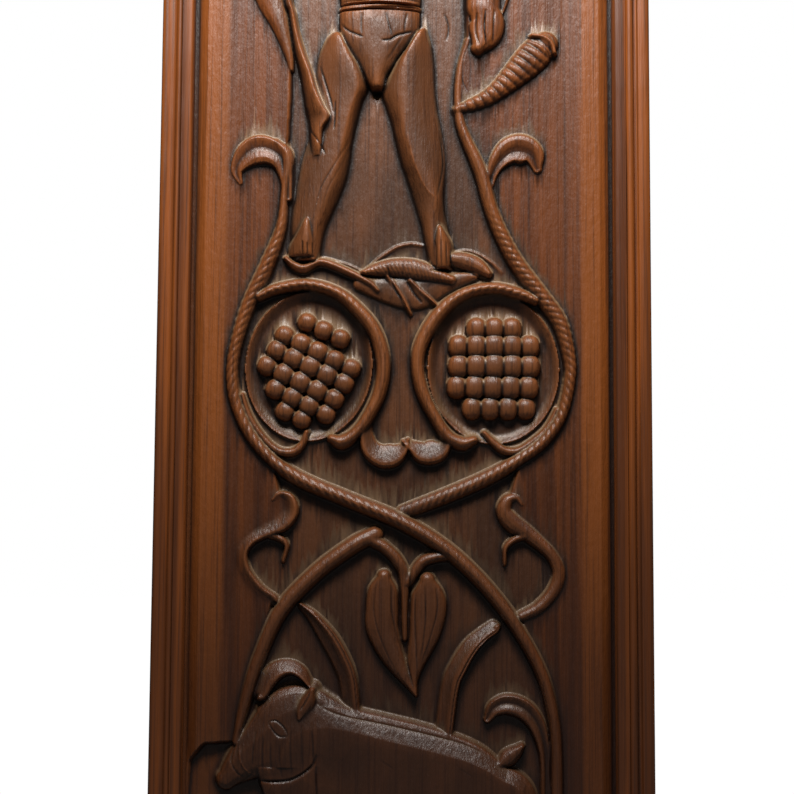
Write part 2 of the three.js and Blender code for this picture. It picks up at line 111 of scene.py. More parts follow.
board_low, board_high = millimetres("carved_panel")
left_low, left_high = millimetres("left_stile")
right_low, right_high = millimetres("right_stile")
FRONT_LEFT = left_high.x + SHADOW_GAP
FRONT_RIGHT = right_low.x - SHADOW_GAP
COLUMNS = round((FRONT_RIGHT - FRONT_LEFT) / CELL) + 1
ROWS = round((board_high.z - board_low.z) / CELL) + 1
XS = np.linspace(FRONT_LEFT, FRONT_RIGHT, COLUMNS)
ZS = np.linspace(board_low.z, board_high.z, ROWS)
CUT = board_high.z + OVERCUT

# ---- cross-sections of carved limbs: place across, -1 to 1, and share of the height ----

ROUND = [
    (-1, 0), (-0.95, 0.4), (-0.8, 0.68), (-0.4, 0.94), (0, 1), (0.4, 0.94), (0.8, 0.68), (0.95, 0.4), (1, 0),
]
CORD = [
    (-1, 0), (-0.92, 0.42), (-0.6, 0.82), (-0.15, 0.99), (0.15, 0.99), (0.6, 0.82), (0.92, 0.42), (1, 0),
]
ARRIS = [(-1, 0), (-0.1, 0.95), (0.1, 0.95), (1, 0)]
LEAF = [
    (-1, 0), (-0.94, 0.62), (-0.8, 0.9), (-0.55, 0.78), (-0.2, 0.62), (0.05, 0.72), (0.2, 0.86), (0.5, 1),
    (0.8, 0.86), (1, 0),
]
LIP = [(-1, 0), (-0.92, 0.6), (-0.75, 0.95), (-0.5, 1), (-0.15, 0.86), (0.3, 0.66), (1, 0.3)]
BLADE = [
    (-1, 0), (-0.75, 0.35), (-0.1, 0.62), (0.35, 0.95), (0.5, 0.98), (0.62, 0.78), (0.74, 0.95), (0.86, 0.82),
    (1, 0),
]
BODY = [
    (-1, 0), (-0.95, 0.6), (-0.8, 0.85), (-0.3, 1), (0.5, 1), (0.62, 0.98), (0.86, 0.62), (0.94, 0.5), (1, 0),
]

LEFT_VINE = [
    (-81, 155, 6, 22.5), (-74, 146, 8.5, 23), (-75.5, 124, 5.5, 22.5), (-77.5, 101, 7.5, 23.5),
    (-86, 77, 10, 24.5), (-97.5, 51, 9.5, 24.5), (-105.5, 23, 8.5, 24.5), (-106.5, 4, 9, 24.5),
    (-103, -12, 9, 24.5), (-94, -30, 9, 24.5), (-80, -45.5, 9, 24.5), (-62, -57, 10, 24.5),
    (-35.5, -68, 10, 25), (1, -83, 10.5, 25.5), (30, -101.5, 10, 25), (54.5, -125.5, 9.5, 24.5),
    (73, -151, 9, 24.5), (86, -176, 8.5, 24.5), (92.5, -202, 8, 24), (94, -226, 8.5, 24),
    (94, -256, 9, 24),
]

RIGHT_VINE = [
    (39, 222, 4, 19.8), (34.5, 203, 5, 20), (33, 186, 5, 20.5), (34.5, 170, 6.5, 21.5),
    (38.5, 158, 7.5, 22.5), (48, 136, 9.5, 23.5), (55.5, 109.5, 9.5, 24),
    (68, 83, 10.5, 24.5), (84.5, 60, 11, 24.5),
    (97, 42, 10.5, 24.5), (103, 19.5, 9, 24.5), (103, 6, 8.5, 24.5), (98, -15, 8.5, 24.5),
    (87, -31.5, 9, 24.5), (72, -43, 9, 24), (50, -55.5, 10, 23.5), (26, -66, 10, 22.5),
    (0, -76, 9, 20),
]

LEFT_RING = [
    (-90.5, 57, 6), (-80, 62, 7.5), (-61, 65, 8), (-43, 60.5, 8), (-30, 50.5, 9),
    (-18.5, 36, 9.5), (-13, 17, 9.5), (-15, -2, 9), (-23, -19, 8.5), (-30.5, -28.5, 8.5),
    (-38, -33, 10), (-44.5, -31, 6),
]

RIGHT_RING = [
    (81.5, 55.5, 6), (71.5, 60, 8), (55, 63.5, 8), (37, 59.5, 8.5), (22, 47.5, 9.5),
    (11, 29, 9.5), (8.5, 14, 8.5), (12, -3, 8.5), (20.5, -19.5, 8), (27.5, -29.5, 8.5),
    (36, -33.5, 9.5), (43.5, -31.5, 6),
]

LEFT_TENDRIL = [
    (-100, -4, 3), (-95, -18.5, 4.5), (-87, -30.5, 5), (-78, -38.5, 5.5), (-68.5, -39.5, 5.5),
    (-62.5, -34.5, 5), (-60, -27, 3),
]

RIGHT_TENDRIL = [
    (94.5, -12, 3), (88.5, -24, 4.5), (80, -32, 5), (70.5, -38, 5.5), (62, -37.5, 5.5),
    (55, -32.5, 5), (50, -27, 3),
]

BRANCH = [
    (-17.5, -90, 11, 22.5), (-31, -97, 11, 24), (-53.5, -114, 10.5, 24), (-74.5, -137, 10.5, 24),
    (-87.5, -165, 9.5, 24), (-95, -190, 8.5, 23.5), (-101, -215.5, 5, 22.5),
]

LEFT_SCROLL = [
    (-79.5, -130, 7.5, 21.5), (-88.5, -124, 8.5, 22), (-97, -113, 8.5, 22), (-99, -102, 8.5, 22),
    (-94, -93.5, 8.5, 22), (-84, -87.5, 10, 22), (-75, -83, 12, 22.5), (-69.5, -76.5, 11, 22.5),
    (-70.5, -69, 9, 22), (-75.5, -66.5, 6, 21), (-79.5, -69, 3, 20.5),
]

LEFT_SCROLL_LOBE = [
    (-84.5, -89.5, 6, 21), (-76.5, -92, 5, 21), (-71.5, -97, 3.5, 20.5), (-73.5, -107, 2, 19.5),
]

RIGHT_SCROLL = [
    (73, -139.5, 7.5, 21.5), (83.5, -134, 8.5, 22), (92.5, -124, 9, 22), (96, -112.5, 9, 22),
    (91.5, -102, 8.5, 22), (84, -94.5, 9.5, 22), (75.5, -87.5, 11.5, 22), (67, -81.5, 13, 22.5),
    (62.5, -75, 11, 22.5), (64.5, -68.5, 8.5, 22), (69.5, -67, 5.5, 21), (73, -71, 3, 20.5),
]

RIGHT_SCROLL_LOBE = [
    (76.5, -90, 5, 21), (68.5, -92.5, 4.5, 21), (63, -98, 3.5, 20.5), (62.5, -108, 2, 19.5),
]

LEFT_HOOK_LEAF = [
    (-73.5, 120, 5.5, 21), (-75, 133, 8.5, 22), (-78, 143, 14, 23), (-84.5, 148.5, 18, 23.5),
    (-92.5, 149.5, 20, 23.5), (-100, 145, 16, 23), (-105, 137, 8.5, 22), (-103, 129, 2.5, 21),
]

RIGHT_HOOK_LEAF = [
    (52.5, 127.5, 5.5, 21), (54.5, 136, 8, 22), (58.5, 144, 12.5, 23), (65.5, 150.5, 18, 23.5),
    (73.5, 151.5, 20, 23.5), (80.5, 147.5, 15, 23), (83, 139, 6, 21.5),
]

LOW_HOOK_LEAF = [
    (87, -256, 6, 20), (87, -231, 6, 20), (86, -218, 8, 20.5), (82, -205, 11, 21),
    (74.5, -196, 13, 21.5), (64.5, -192.5, 13, 21.5), (56.5, -195, 10.5, 21), (52, -201.5, 5, 20),
]

LEFT_BLADE = [
    (-62.5, -133.5, 4, 20.5), (-54.5, -141, 8, 22), (-45.5, -153, 12, 23), (-38, -166, 12.5, 23),
    (-33, -179, 12, 22.5), (-30.5, -200, 11.5, 22),
]

RIGHT_BLADE = [
    (55.5, -146, 9, 21), (48.5, -151, 9.5, 22), (41, -158.5, 11, 23), (34, -170, 12, 23),
    (29, -182.5, 12, 22.5), (25, -214, 11.5, 22),
]

HEART_STEM_LEFT = [
    (-19, -93.5, 8.5, 22.5), (-11, -98, 8, 22.5), (-3.5, -105.5, 8, 22), (0.5, -114.5, 7.5, 21),
    (1, -132, 5, 20), (1.5, -153.5, 3.5, 19.5),
]

HEART_STEM_RIGHT = [
    (27.5, -102.5, 7.5, 22.5), (19.5, -103.5, 7.5, 22.5), (11.5, -107, 7.5, 22), (3, -119, 6.5, 21),
]

HEART_LEFT = [
    (-11.5, -115.5, 9), (-12, -123.5, 18.5), (-12.5, -136, 20.5), (-12, -148, 20), (-5.5, -164.5, 14.5),
    (5.5, -182.5, 5), (8.5, -187.5, 2),
]

HEART_RIGHT = [
    (15, -117.5, 10), (15.5, -126, 20.5), (15.5, -136, 23), (13.5, -150, 19.5), (8.5, -167, 12),
    (7, -178, 6), (8.5, -187, 2),
]

CLOAK = [
    (-90.5, 262, 22, 23), (-85.5, 245, 17.5, 22.5), (-80.5, 233, 13, 22.5), (-76.5, 221, 9, 22),
    (-73.5, 210, 6, 21.5), (-72, 202, 3, 20.5),
]

HORN = [
    (33, 177, 5, 22), (40.5, 179.5, 8, 23), (50, 183.5, 10, 24), (59, 190, 12.5, 24.5),
    (68, 198.5, 16.5, 25), (76, 206.5, 20, 25.5), (83, 214, 20.5, 25.5), (88, 219, 16.5, 25),
]

HORN_RIM = [(79.5, 223.5, 4), (86.5, 222.5, 4.5), (91.5, 218.5, 4.5), (93.5, 212.5, 3.5)]

TASSEL = [(45.5, 216, 9), (49, 222.5, 19), (51, 229, 22.5), (51, 235, 21.5), (48.5, 241.5, 18)]

TASSEL_TOP = [(49, 243, 21.5), (49, 262, 21.5)]

TASSEL_CORD = [(69, 262, 4), (62.5, 243, 3), (60, 236.5, 2.5)]

LEFT_LEDGE = [
    (-74, 81.5, 3.5), (-69, 77.5, 5.5), (-62.5, 75.5, 6), (-52, 79.5, 5), (-36.5, 74, 5),
    (-22, 66.5, 4.5), (-16.5, 61.5, 2.5),
]

MIDDLE_HUMP = [(-26.5, 72.5, 3), (-15, 75, 10), (-3, 76, 12.5), (10, 74, 13), (29.5, 68.5, 6)]

RIGHT_HUMP = [(29.5, 82, 8.5), (37.5, 80.5, 11), (45.5, 77.5, 10), (52.5, 72.5, 5)]

HILLOCK = [(-28, 66, 8), (-8, 62, 18), (8, 61, 22), (24, 66, 14), (44, 72, 6)]

GRASS = [
    ((-10.5, 70.5, 6.5), (-5, 63.5, 7.5), (0, 55.5, 6.5), (4, 47, 2.5)),
    ((3.5, 68, 6.5), (9.5, 62, 7.5), (16, 56.5, 6.5), (21, 51.5, 2.5)),
]

LEFT_SCALLOP = [
    (-21.5, -16.5, 5), (-23, -27, 8), (-20.5, -37, 12), (-13, -42, 14.5), (-6, -41, 14.5),
    (-0.5, -37, 8.5), (2.5, -31.5, 3),
]

RIGHT_SCALLOP = [
    (0, -32.5, 3), (6, -36, 8.5), (12.5, -39.5, 14.5), (20.5, -38.5, 14.5), (25.5, -34, 9),
    (25, -27, 5),
]

HORSE_BODY = [
    (-50, -230, 76), (-40, -230.5, 76), (-7, -240, 80.5), (17, -244.5, 77), (41, -248.5, 67),
    (60, -252, 46),
]

HORSE_HEAD = [
    (-40, -215, 42, 26.5), (-52, -209, 46, 27), (-64, -206, 50, 27), (-76, -215, 45, 26.5),
    (-89.5, -223.5, 31.5, 25.5), (-98.5, -230.5, 21.5, 24.5), (-106, -238, 13, 23),
]

FORELOCK = [
    (-86, -186, 11), (-81.5, -178, 12), (-75.5, -172.5, 11), (-68, -171, 9), (-61.5, -174, 7.5),
    (-56, -181, 4),
]

EAR = [(-54.5, -184, 4), (-57, -191, 10), (-60.5, -197, 9), (-62, -201, 4)]

TAIL = [(59.5, -228, 6), (64, -225, 11), (69, -221, 9), (72.5, -217.5, 4.5)]

# ---- tall bodies, top first: z, left edge, lit line, right edge, crest ----

TORSO = [(262, -43, -16, 10, 26.5), (252, -42, -16, 9.5, 26.5), (243.5, -41, -16, 9, 27)]
WAIST = [(242.5, -41.5, -16, 9.5, 27.2), (239.5, -42, -16, 9.5, 27.6)]
TRUNKS = [
    (239.2, -42, -19, 9, 27.2), (228, -41.5, -18, 8, 27.8), (220, -40.5, -18, 4, 27.8),
    (214.5, -37, -18, -1, 27.8), (209.5, -33.5, -18, -5, 27.8), (205, -30.5, -18, -7.5, 27.6),
    (198, -26.7, -18, -11.8, 27.2), (191.5, -23, -18, -13.5, 26.5), (188.5, -21, -18, -15, 25),
]
LEFT_LEG = [
    (226, -47, -43.5, -41, 22), (222, -50.5, -41.5, -38.5, 25), (212, -54.8, -38, -32, 26.5),
    (202, -56.5, -34, -25.5, 27), (191, -57.3, -31, -23.7, 27), (181, -58, -33, -27.5, 26.6),
    (171, -58.7, -36, -30.2, 26.4), (162, -59.2, -38, -32, 26.2), (152, -62.3, -40.5, -33.8, 26),
    (142, -65, -43.5, -35, 25.8), (130, -67.5, -47, -37.5, 25.4), (117, -70, -51.5, -42.5, 24.8),
    (102, -71.5, -56, -49, 23.6), (92, -71, -57.5, -51.5, 23), (80, -69, -58, -53, 22),
]
RIGHT_LEG = [
    (229, 9.5, 11.5, 13, 22), (225, 5, 8.5, 14.2, 25), (217, 0.5, 4, 16.5, 26.8),
    (207, -7, 0, 17.8, 27.2), (197, -12.5, -1, 18.3, 27.2), (188, -15, -1, 18.8, 27),
    (177, -11.5, -0.5, 20, 26.8), (168, -8.5, 0, 21.8, 26.6), (159, -6.5, 1, 23.5, 26.4),
    (149, -4, 4, 24.8, 26.2), (143, -2.5, 6, 25.2, 26), (135, 0.3, 10, 25.2, 25.6),
    (128, 2.5, 13.5, 24.8, 25.2), (118, 5.7, 18, 24.5, 24.2), (109, 8.5, 17, 25.5, 23.2),
    (102, 10.5, 17, 27, 22.6), (92, 12.5, 18, 28.5, 22.6), (77, 15.5, 20, 29, 22),
]
LEFT_FOOT = [
    (108, -62, -60.5, -59, 22), (104, -65.5, -61, -57, 25), (94, -70.5, -61, -54, 26),
    (87, -73, -60.5, -53.3, 25.4), (82.5, -73.5, -60, -53.3, 24.4),
]
RIGHT_FOOT = [
    (103, 20, 21.5, 23, 21), (100.5, 19, 21.8, 25, 24.8), (92.5, 16.3, 22.5, 29.8, 26),
    (84, 15.6, 23, 31.3, 26), (78, 16, 23.5, 31, 24.8), (75, 17.5, 23.5, 30, 23.4),
]
SASH = [
    (262, -79, -75, -73.5, 24.5), (245, -77, -73.8, -71.3, 24.5), (239, -74.5, -72, -69.5, 24.6),
    (226, -72.5, -69.5, -67, 24.8), (213, -70.5, -66, -63, 25.2), (200, -67, -61, -58.5, 26.4),
    (187.5, -64.5, -57.2, -54.5, 27.4), (177, -63, -52.5, -49.5, 27.8), (170, -61.5, -49, -45.8, 27.6),
    (162, -60.3, -53.5, -50, 26.6), (152, -60, -54, -50.5, 25.4), (146, -60, -54, -51, 23.5),
]

# ---- folds cut into the bodies: points, width, depth (a negative depth raises a ridge) ----

FOLDS = [
    ([(-43, 239.2), (-30, 239.2), (-16.5, 240.2), (3.5, 241), (10.5, 240)], 1.8, 2.4),
    ([(-41, 245.5), (-28, 245), (-10, 246), (9, 246.5)], 1.4, 1.2),
    ([(-41, 231.5), (-38, 227.5), (-34, 224.5), (-26.5, 221)], 2.2, 1.1),
    ([(-27.5, 237), (-28, 230), (-27.5, 222.5)], 1.6, 0.6),
    ([(-15.5, 219), (-10, 219.5), (-5, 222.5), (4.5, 226)], 2.4, 1.2),
    ([(-13, 238), (-10.5, 228.5), (-8, 220.5)], 2.2, 0.6),
    ([(1, 238), (-0.5, 231), (-1, 224.5)], 2, 0.6),
    ([(-1, 224), (-6, 216), (-12, 206)], 2.4, 0.5),
    ([(-44, 181), (-44, 170), (-44.5, 162)], 1.5, 1.2),
    ([(-62, 178), (-60, 166), (-57.5, 159.5), (-52, 151), (-49.5, 146)], 1.6, 1.1),
    ([(-54, 205), (-50, 192), (-46.5, 180), (-44.5, 171)], 2.6, 0.9),
    ([(-30.5, 181), (-34.5, 158), (-44, 140), (-52, 126), (-56.5, 110)], 1.6, 0.5),
    ([(-27.5, 178), (-32, 160), (-40.5, 139), (-48.5, 123.5), (-52.5, 106)], 1.4, 0.4),
    ([(19.5, 119.5), (14, 124), (9, 133), (4.5, 145), (1.5, 160)], 2, -0.5),
    ([(19.5, 119.5), (21.5, 128), (23.5, 142), (22, 160)], 1.8, 0.7),
    ([(-63.5, 92), (-63.5, 81)], 1.3, 1.1), ([(-60.5, 91), (-60.2, 81)], 1.3, 1.2),
    ([(-57.5, 91), (-57, 81)], 1.3, 1.1),
    ([(19.5, 92), (20, 75)], 1.3, 1), ([(22.5, 93), (23, 74.5)], 1.3, 1.1),
    ([(25.8, 92), (26.3, 74.5)], 1.3, 1.1), ([(28.6, 88), (28.8, 77)], 1.2, 0.9),
    ([(-18, 190), (-18, 184)], 6, 3.2),
]
HILL_LINES = [
    ([(-26.5, 73), (-20.5, 78), (-15.5, 82.5), (-9, 87), (-3.5, 90), (4.5, 91.5), (14, 90)], 3.4, -1.3),
    ([(-52, 83), (-43.5, 80.5), (-34, 77.5), (-26.5, 73.5), (-18, 66)], 2.6, -1.1),
    ([(-73.5, 82), (-69.5, 80), (-63, 78.7), (-57.5, 79), (-53, 81.5)], 2, 1.8),
    ([(16, 74.5), (21, 74), (25.5, 75), (30.5, 77.5)], 2, 1.8),
    ([(31, 86.5), (38, 87.5), (45.5, 85.5), (54.5, 80), (61.5, 73)], 3, -1),
    ([(30, 74), (38.5, 73.5), (46, 70.5), (52, 66.5)], 2, 1.1),
    ([(-10.5, 77), (-9, 70), (-5.5, 62), (-1, 55)], 2, 1.3),
    ([(1.5, 67), (6, 60), (11, 54)], 3.4, 1.2),
]
BODY_LINES = [
    ([
        (-53, -191), (-44, -196.5), (-31.5, -200.5), (-13.5, -204), (5, -208), (22, -212), (38, -216.5),
        (54, -224),
    ], 1.6, 0.8),
    ([(-84.5, -193.5), (-92, -205), (-100, -218), (-103, -232)], 1.6, -0.6),
    ([(-81, -203), (-76, -202.5), (-71, -206.5), (-68.5, -211.5)], 1.4, 1),
    ([(-81, -203), (-77.5, -208.5), (-74, -211.5), (-68.5, -211.5)], 1.4, 0.9),
    ([(-100.5, -216), (-103, -226), (-99.5, -233.5), (-94.5, -236.5)], 1.5, 0.8),
    ([(-98, -217), (-97.5, -226), (-93, -233), (-88, -235)], 1.5, -0.8),
    ([(-89.5, -233.5), (-95.5, -238.5), (-103.5, -244)], 1.5, 1.1),
    ([(-88, -208), (-89.5, -219), (-90, -229)], 1.6, 0.7),
    ([(-83.5, -212), (-84, -222), (-84, -234)], 1.8, 0.6),
    ([(-79, -215), (-79, -225), (-78, -235)], 1.8, 0.5),
    ([(-73.5, -216), (-73.5, -226), (-72, -236)], 1.8, 0.6),
    ([(-67, -208), (-67, -222), (-66, -235)], 1.8, 0.5),
    ([(-60.5, -205), (-60, -220), (-59.5, -232)], 2, 0.5),
    ([(-54.5, -204), (-53.5, -218), (-53, -229)], 2, 0.6),
    ([(-90, -238), (-78, -238.5), (-66, -237), (-55, -230), (-51, -222)], 2.6, 1.6),
    ([(-51.5, -229), (-51.5, -238), (-50.5, -250)], 1.8, 1),
    ([(-13, -225), (-4, -231)], 0.9, 0.3), ([(34, -229.5), (43, -235)], 0.9, 0.3),
    ([(-55, -184), (-58, -190.5), (-61.5, -196)], 1.4, 1.2),
]
LEAF_LINES = [
    ([(-7, -121), (-6.5, -137), (-3, -152), (3, -169), (7.5, -184)], 1.6, 0.9),
    ([(-17, -122), (-17.5, -136), (-14, -151), (-7, -167), (0, -178)], 1.4, 0.6),
    ([(8, -122), (7.5, -137), (8, -152), (9, -172)], 1.5, 0.8),
    ([(13.5, -121), (14, -138), (13, -152), (10.5, -170)], 1.4, 0.7),
    ([(20.5, -122), (21, -136), (17, -152), (11.5, -168)], 1.5, 0.8),
    ([(-3.5, -110), (-1.5, -124), (-1, -140)], 2.4, 1.6),
    ([(4.5, -110), (4.5, -124), (4.5, -140)], 2.4, 1.6),
    ([(24, 240.5), (26.5, 234), (27, 228), (25.5, 222)], 2.4, 0.6),
    ([(40.5, 220.5), (37, 212), (35.7, 202.5), (36, 195), (39, 188.5)], 1.4, 0.6),
    ([(40, 214), (41, 203), (40, 192)], 1.2, 0.3),
    ([(44.5, 238), (44, 226), (46, 217)], 2, 1.2),
    ([(50, 240), (49.3, 227.5), (51, 216)], 2, 1.3),
    ([(55.5, 240), (55, 229), (54.5, 217)], 2, 1.1),
    ([(78, 221), (84, 218), (89, 213), (91.5, 208)], 1.4, 0.9),
]

# ---- medallions: x, z, width, height, tilt ----

LEFT_MEDALLION = (-59, 14, 79, 94, 0.1)
RIGHT_MEDALLION = (55.5, 13, 82, 94, -0.05)

# ---- grapes: the step along a row, and each row's first berry and its count ----

LEFT_GRAPES = (10.4, -5.1), [
    (-60.5, 41.5, 3), (-74.5, 33, 5), (-79, 23.7, 5), (-85, 14, 5), (-79.5, -0.5, 4), (-73.5, -14, 2),
]
RIGHT_GRAPES = (11, 0), [(45, 38, 3), (34, 27, 5), (34, 14.5, 5), (33, 1.5, 5), (42.5, -11.5, 4)]


# ---- the height field ----

def blur(field, spread):
    """A Gaussian blur with a spread in mm, by two passes of a one-way kernel."""
    reach = max(1, int(3 * spread / CELL))
    steps = np.arange(-reach, reach + 1) * CELL
    kernel = np.exp(-0.5 * (steps / spread) ** 2)
    kernel /= kernel.sum()
    padded = np.pad(field, reach, mode="edge")
    rows = np.zeros((padded.shape[0], field.shape[1]))
    for i, weight in enumerate(kernel):
        rows += weight * padded[:, i:i + field.shape[1]]
    result = np.zeros(field.shape)
    for i, weight in enumerate(kernel):
        result += weight * rows[i:i + field.shape[0]]
    return result


def noise(random, size_x, size_z):
    """Smooth noise from -1 to 1 whose lumps are about size_x by size_z mm."""
    counts = [int((board_high.z - board_low.z) / size_z) + 4, int((FRONT_RIGHT - FRONT_LEFT) / size_x) + 4]
    lattice = random.uniform(-1, 1, counts)
    result = lattice
    for axis, (places, size) in enumerate([(ZS - ZS[0], size_z), (XS - XS[0], size_x)]):
        at = places / size
        low = at.astype(int)
        part = at - low
        part = part * part * (3 - 2 * part)
        shape = [1, 1]
        shape[axis] = len(part)
        part = part.reshape(shape)
        result = np.take(result, low, axis) * (1 - part) + np.take(result, low + 1, axis) * part
    return result


def smooth_path(stations, step):
    """Catmull-Rom through (x, z, more...) stations: rows about step mm apart."""
    p = np.array(stations, float)
    p = np.vstack([2 * p[0] - p[1], p, 2 * p[-1] - p[-2]])
    rows = []
    for i in range(1, len(p) - 2):
        length = math.hypot(*(p[i + 1, :2] - p[i, :2]))
        count = max(2, round(length / step))
        t = (np.arange(count) / count)[:, None]
        a, b, c, d = p[i - 1:i + 3]
        bend = (2 * a - 5 * b + 4 * c - d) * t ** 2
        turn = (3 * b - a - 3 * c + d) * t ** 3
        rows.append(0.5 * (2 * b + (c - a) * t + bend + turn))
    rows.append(p[-2:-1])
    return np.vstack(rows)


def span(places, low, high):
    """The slice of rising places between low and high."""
    return slice(int(np.searchsorted(places, low)), int(np.searchsorted(places, high)))


class Along:
    """The cells near a path: distance s along it, signed distance v across it, u as v in half widths,
    and the path's own values there."""

    def __init__(self, stations, reach, step=0.3):
        widest = max(station[2] for station in stations)
        path = smooth_path(stations, max(step, widest / 60))
        radius = widest / 2 + reach
        self.columns = span(XS, path[:, 0].min() - radius, path[:, 0].max() + radius)
        self.rows = span(ZS, path[:, 1].min() - radius, path[:, 1].max() + radius)
        xs = XS[self.columns]
        zs = ZS[self.rows]
        nearest = np.full((len(zs), len(xs)), np.inf)
        index = np.zeros(nearest.shape, int)
        for k, (x, z) in enumerate(path[:, :2]):
            across = span(xs, x - radius, x + radius)
            up = span(zs, z - radius, z + radius)
            squared = (xs[across] - x) ** 2 + (zs[up, None] - z) ** 2
            closer = squared < nearest[up, across]
            nearest[up, across][closer] = squared[closer]
            index[up, across][closer] = k
        tangent = np.gradient(path[:, :2], axis=0)
        tangent /= np.linalg.norm(tangent, axis=1)[:, None]
        offset_x = xs[None, :] - path[index, 0]
        offset_z = zs[:, None] - path[index, 1]
        ahead = offset_x * tangent[index, 0] + offset_z * tangent[index, 1]
        side = offset_z * tangent[index, 0] - offset_x * tangent[index, 1]
        past_end = ((index == 0) & (ahead < 0)) | ((index == len(path) - 1) & (ahead > 0))
        distance = np.where(past_end, np.hypot(side, ahead), np.abs(side))
        travelled = np.concatenate([[0], np.cumsum(np.linalg.norm(np.diff(path[:, :2], axis=0), axis=1))])
        self.cells = self.rows, self.columns
        self.length = travelled[-1]
        self.s = travelled[index] + np.clip(ahead, -self.length, self.length)
        self.v = np.copysign(distance, side)
        self.half = path[index, 2] / 2
        self.values = path[index]
        self.seen = np.isfinite(nearest)
        self.u = np.where(self.seen, self.v / self.half, FAR_OUTSIDE)


class Relief:
    """The board's front: heights in mm on the grid, and how far each cell belongs to a raised form."""

    def __init__(self, height):
        self.height = height
        self.raised = np.zeros(height.shape)

    def join(self, cells, top, inside, blend):
        """Lays a form on what is there, with a fillet where they meet."""
        area = self.height[cells]
        near = np.clip(1 - np.abs(area - top) / blend, 0, 1)
        joined = np.maximum(area, top) + near ** 2 * blend / 4
        self.height[cells] = np.where(inside, joined, area)
        self.raised[cells] = np.maximum(self.raised[cells], inside & (top > area))

    def limb(self, stations, section, crest=24.0, foot=FIELD_FLOOR, blend=1.6, shape=None):
        """Sweeps a carved limb over the field. shape(along) may return an extra height for its cells."""
        along = Along([tuple(s) + (crest,) if len(s) == 3 else tuple(s) for s in stations], FILLET_REACH)
        places, shares = zip(*section)
        share = np.interp(along.u, places, shares, left=0, right=0)
        top = foot + (along.values[..., 3] - foot) * share
        if shape is not None:
            top = top + shape(along) * np.clip(share * 2, 0, 1)
        outside = np.clip(np.abs(along.v) - along.half, 0, None)
        self.join(along.cells, top - FILLET_SLOPE * outside, along.seen, blend)

    def body(self, rows, foot=FIELD_FLOOR, blend=1.6, rounding=0.8):
        """Lays a tall body from (z, left, lit, right, crest) rows, top first. It swells from both edges
        to the lit line, so the edge nearer that line is the steeper one."""
        path = smooth_path([(left, z, lit, right, crest) for z, left, lit, right, crest in rows], 1.0)[::-1]
        up = span(ZS, path[0, 1], path[-1, 1])
        left, lit, right, crest = (np.interp(ZS[up], path[:, 1], path[:, k])[:, None] for k in (0, 2, 3, 4))
        across = span(XS, left.min() - FILLET_REACH, right.max() + FILLET_REACH)
        x = XS[across][None, :]
        part = np.where(x < lit, (x - left) / (lit - left), (right - x) / (right - lit))
        share = np.sin(np.clip(part, 0, 1) * math.pi / 2) ** rounding
        outside = np.clip(np.maximum(left - x, x - right), 0, None)
        top = foot + (crest - foot) * share - FILLET_SLOPE * outside
        self.join((up, across), top, outside < FILLET_REACH, blend)

    def cut(self, points, width, depth, sharp=1.2):
        """Cuts a groove that fades at its ends, along (x, z) points. A negative depth raises a ridge."""
        along = Along([(x, z, width) for x, z in points], 0)
        profile = np.clip(1 - np.abs(along.u), 0, 1) ** sharp
        to_end = np.minimum(along.s, along.length - along.s)
        fade = np.clip(to_end / (GROOVE_FADE * along.length), 0, 1)
        self.height[along.cells] -= depth * profile * fade ** 0.5 * along.seen

    def berry(self, x, z, tilt, along_radius, across_radius, top):
        """A barrel of a berry, squarer than a ball so that its neighbours touch it all along a side."""
        up = span(ZS, z - BERRY_REACH, z + BERRY_REACH)
        across = span(XS, x - BERRY_REACH, x + BERRY_REACH)
        dx = XS[across][None, :] - x
        dz = ZS[up][:, None] - z
        a = np.abs(dx * math.cos(tilt) + dz * math.sin(tilt)) / along_radius
        b = np.abs(dz * math.cos(tilt) - dx * math.sin(tilt)) / across_radius
        out = a ** 2.3 + b ** 2.3
        ball = top + BERRY_OUT * np.clip(1 - out, 0, 1) ** 0.55
        self.join((up, across), ball, out < 1, 0.3)


def twist(pitch, slant, depth, low=0.0, high=1.0):
    """Rope notches wound round a limb: slant is mm along it per mm across. They run from share low to
    share high of its length."""
    def shape(along):
        phase = (along.s + slant * along.v) / pitch
        part = along.s / along.length
        fade = np.clip(np.minimum(part - low, high - part) / TWIST_FADE + 0.5, 0, 1)
        return -depth * fade * np.abs(np.cos(np.pi * phase)) ** 4
    return shape


def oval_depth(x, z, width, height, tilt):
    """About how many mm each cell is inside an oval's rim; negative outside."""
    dx = XS[None, :] - x
    dz = ZS[:, None] - z
    across = dx * math.cos(tilt) - dz * math.sin(tilt)
    up = dx * math.sin(tilt) + dz * math.cos(tilt)
    return (1 - np.hypot(across / (width / 2), up / (height / 2))) * (width + height) / 4


def polygon_mask(outline):
    """True for the cells inside a closed outline, by crossing counts along each row."""
    inside = np.zeros((ROWS, COLUMNS), bool)
    closed = list(outline) + [outline[0]]
    for (x1, z1), (x2, z2) in zip(closed, closed[1:]):
        if z1 == z2:
            continue
        low, high = sorted((z1, z2))
        rows = span(ZS, low, high)
        crossing = x1 + (ZS[rows] - z1) * (x2 - x1) / (z2 - z1)
        inside[rows] ^= XS[None, :] > crossing[:, None]
    return inside


# ---- the grounds ----

def margin_profile():
    """The board's long edges: a dark slope, a flat band and the fall to the outer ground."""
    inward = np.minimum(XS - FRONT_LEFT, FRONT_RIGHT - XS)
    ends = [0, EDGE_BEVEL, EDGE_BEVEL + MARGIN_BAND, EDGE_BEVEL + MARGIN_BAND + GROUND_FALL]
    return np.interp(inward, ends, [SHOULDER_HEIGHT, MARGIN_HEIGHT, MARGIN_HEIGHT, OUTER_GROUND])


def plan_points(stations):
    return [(station[0], station[1]) for station in stations]


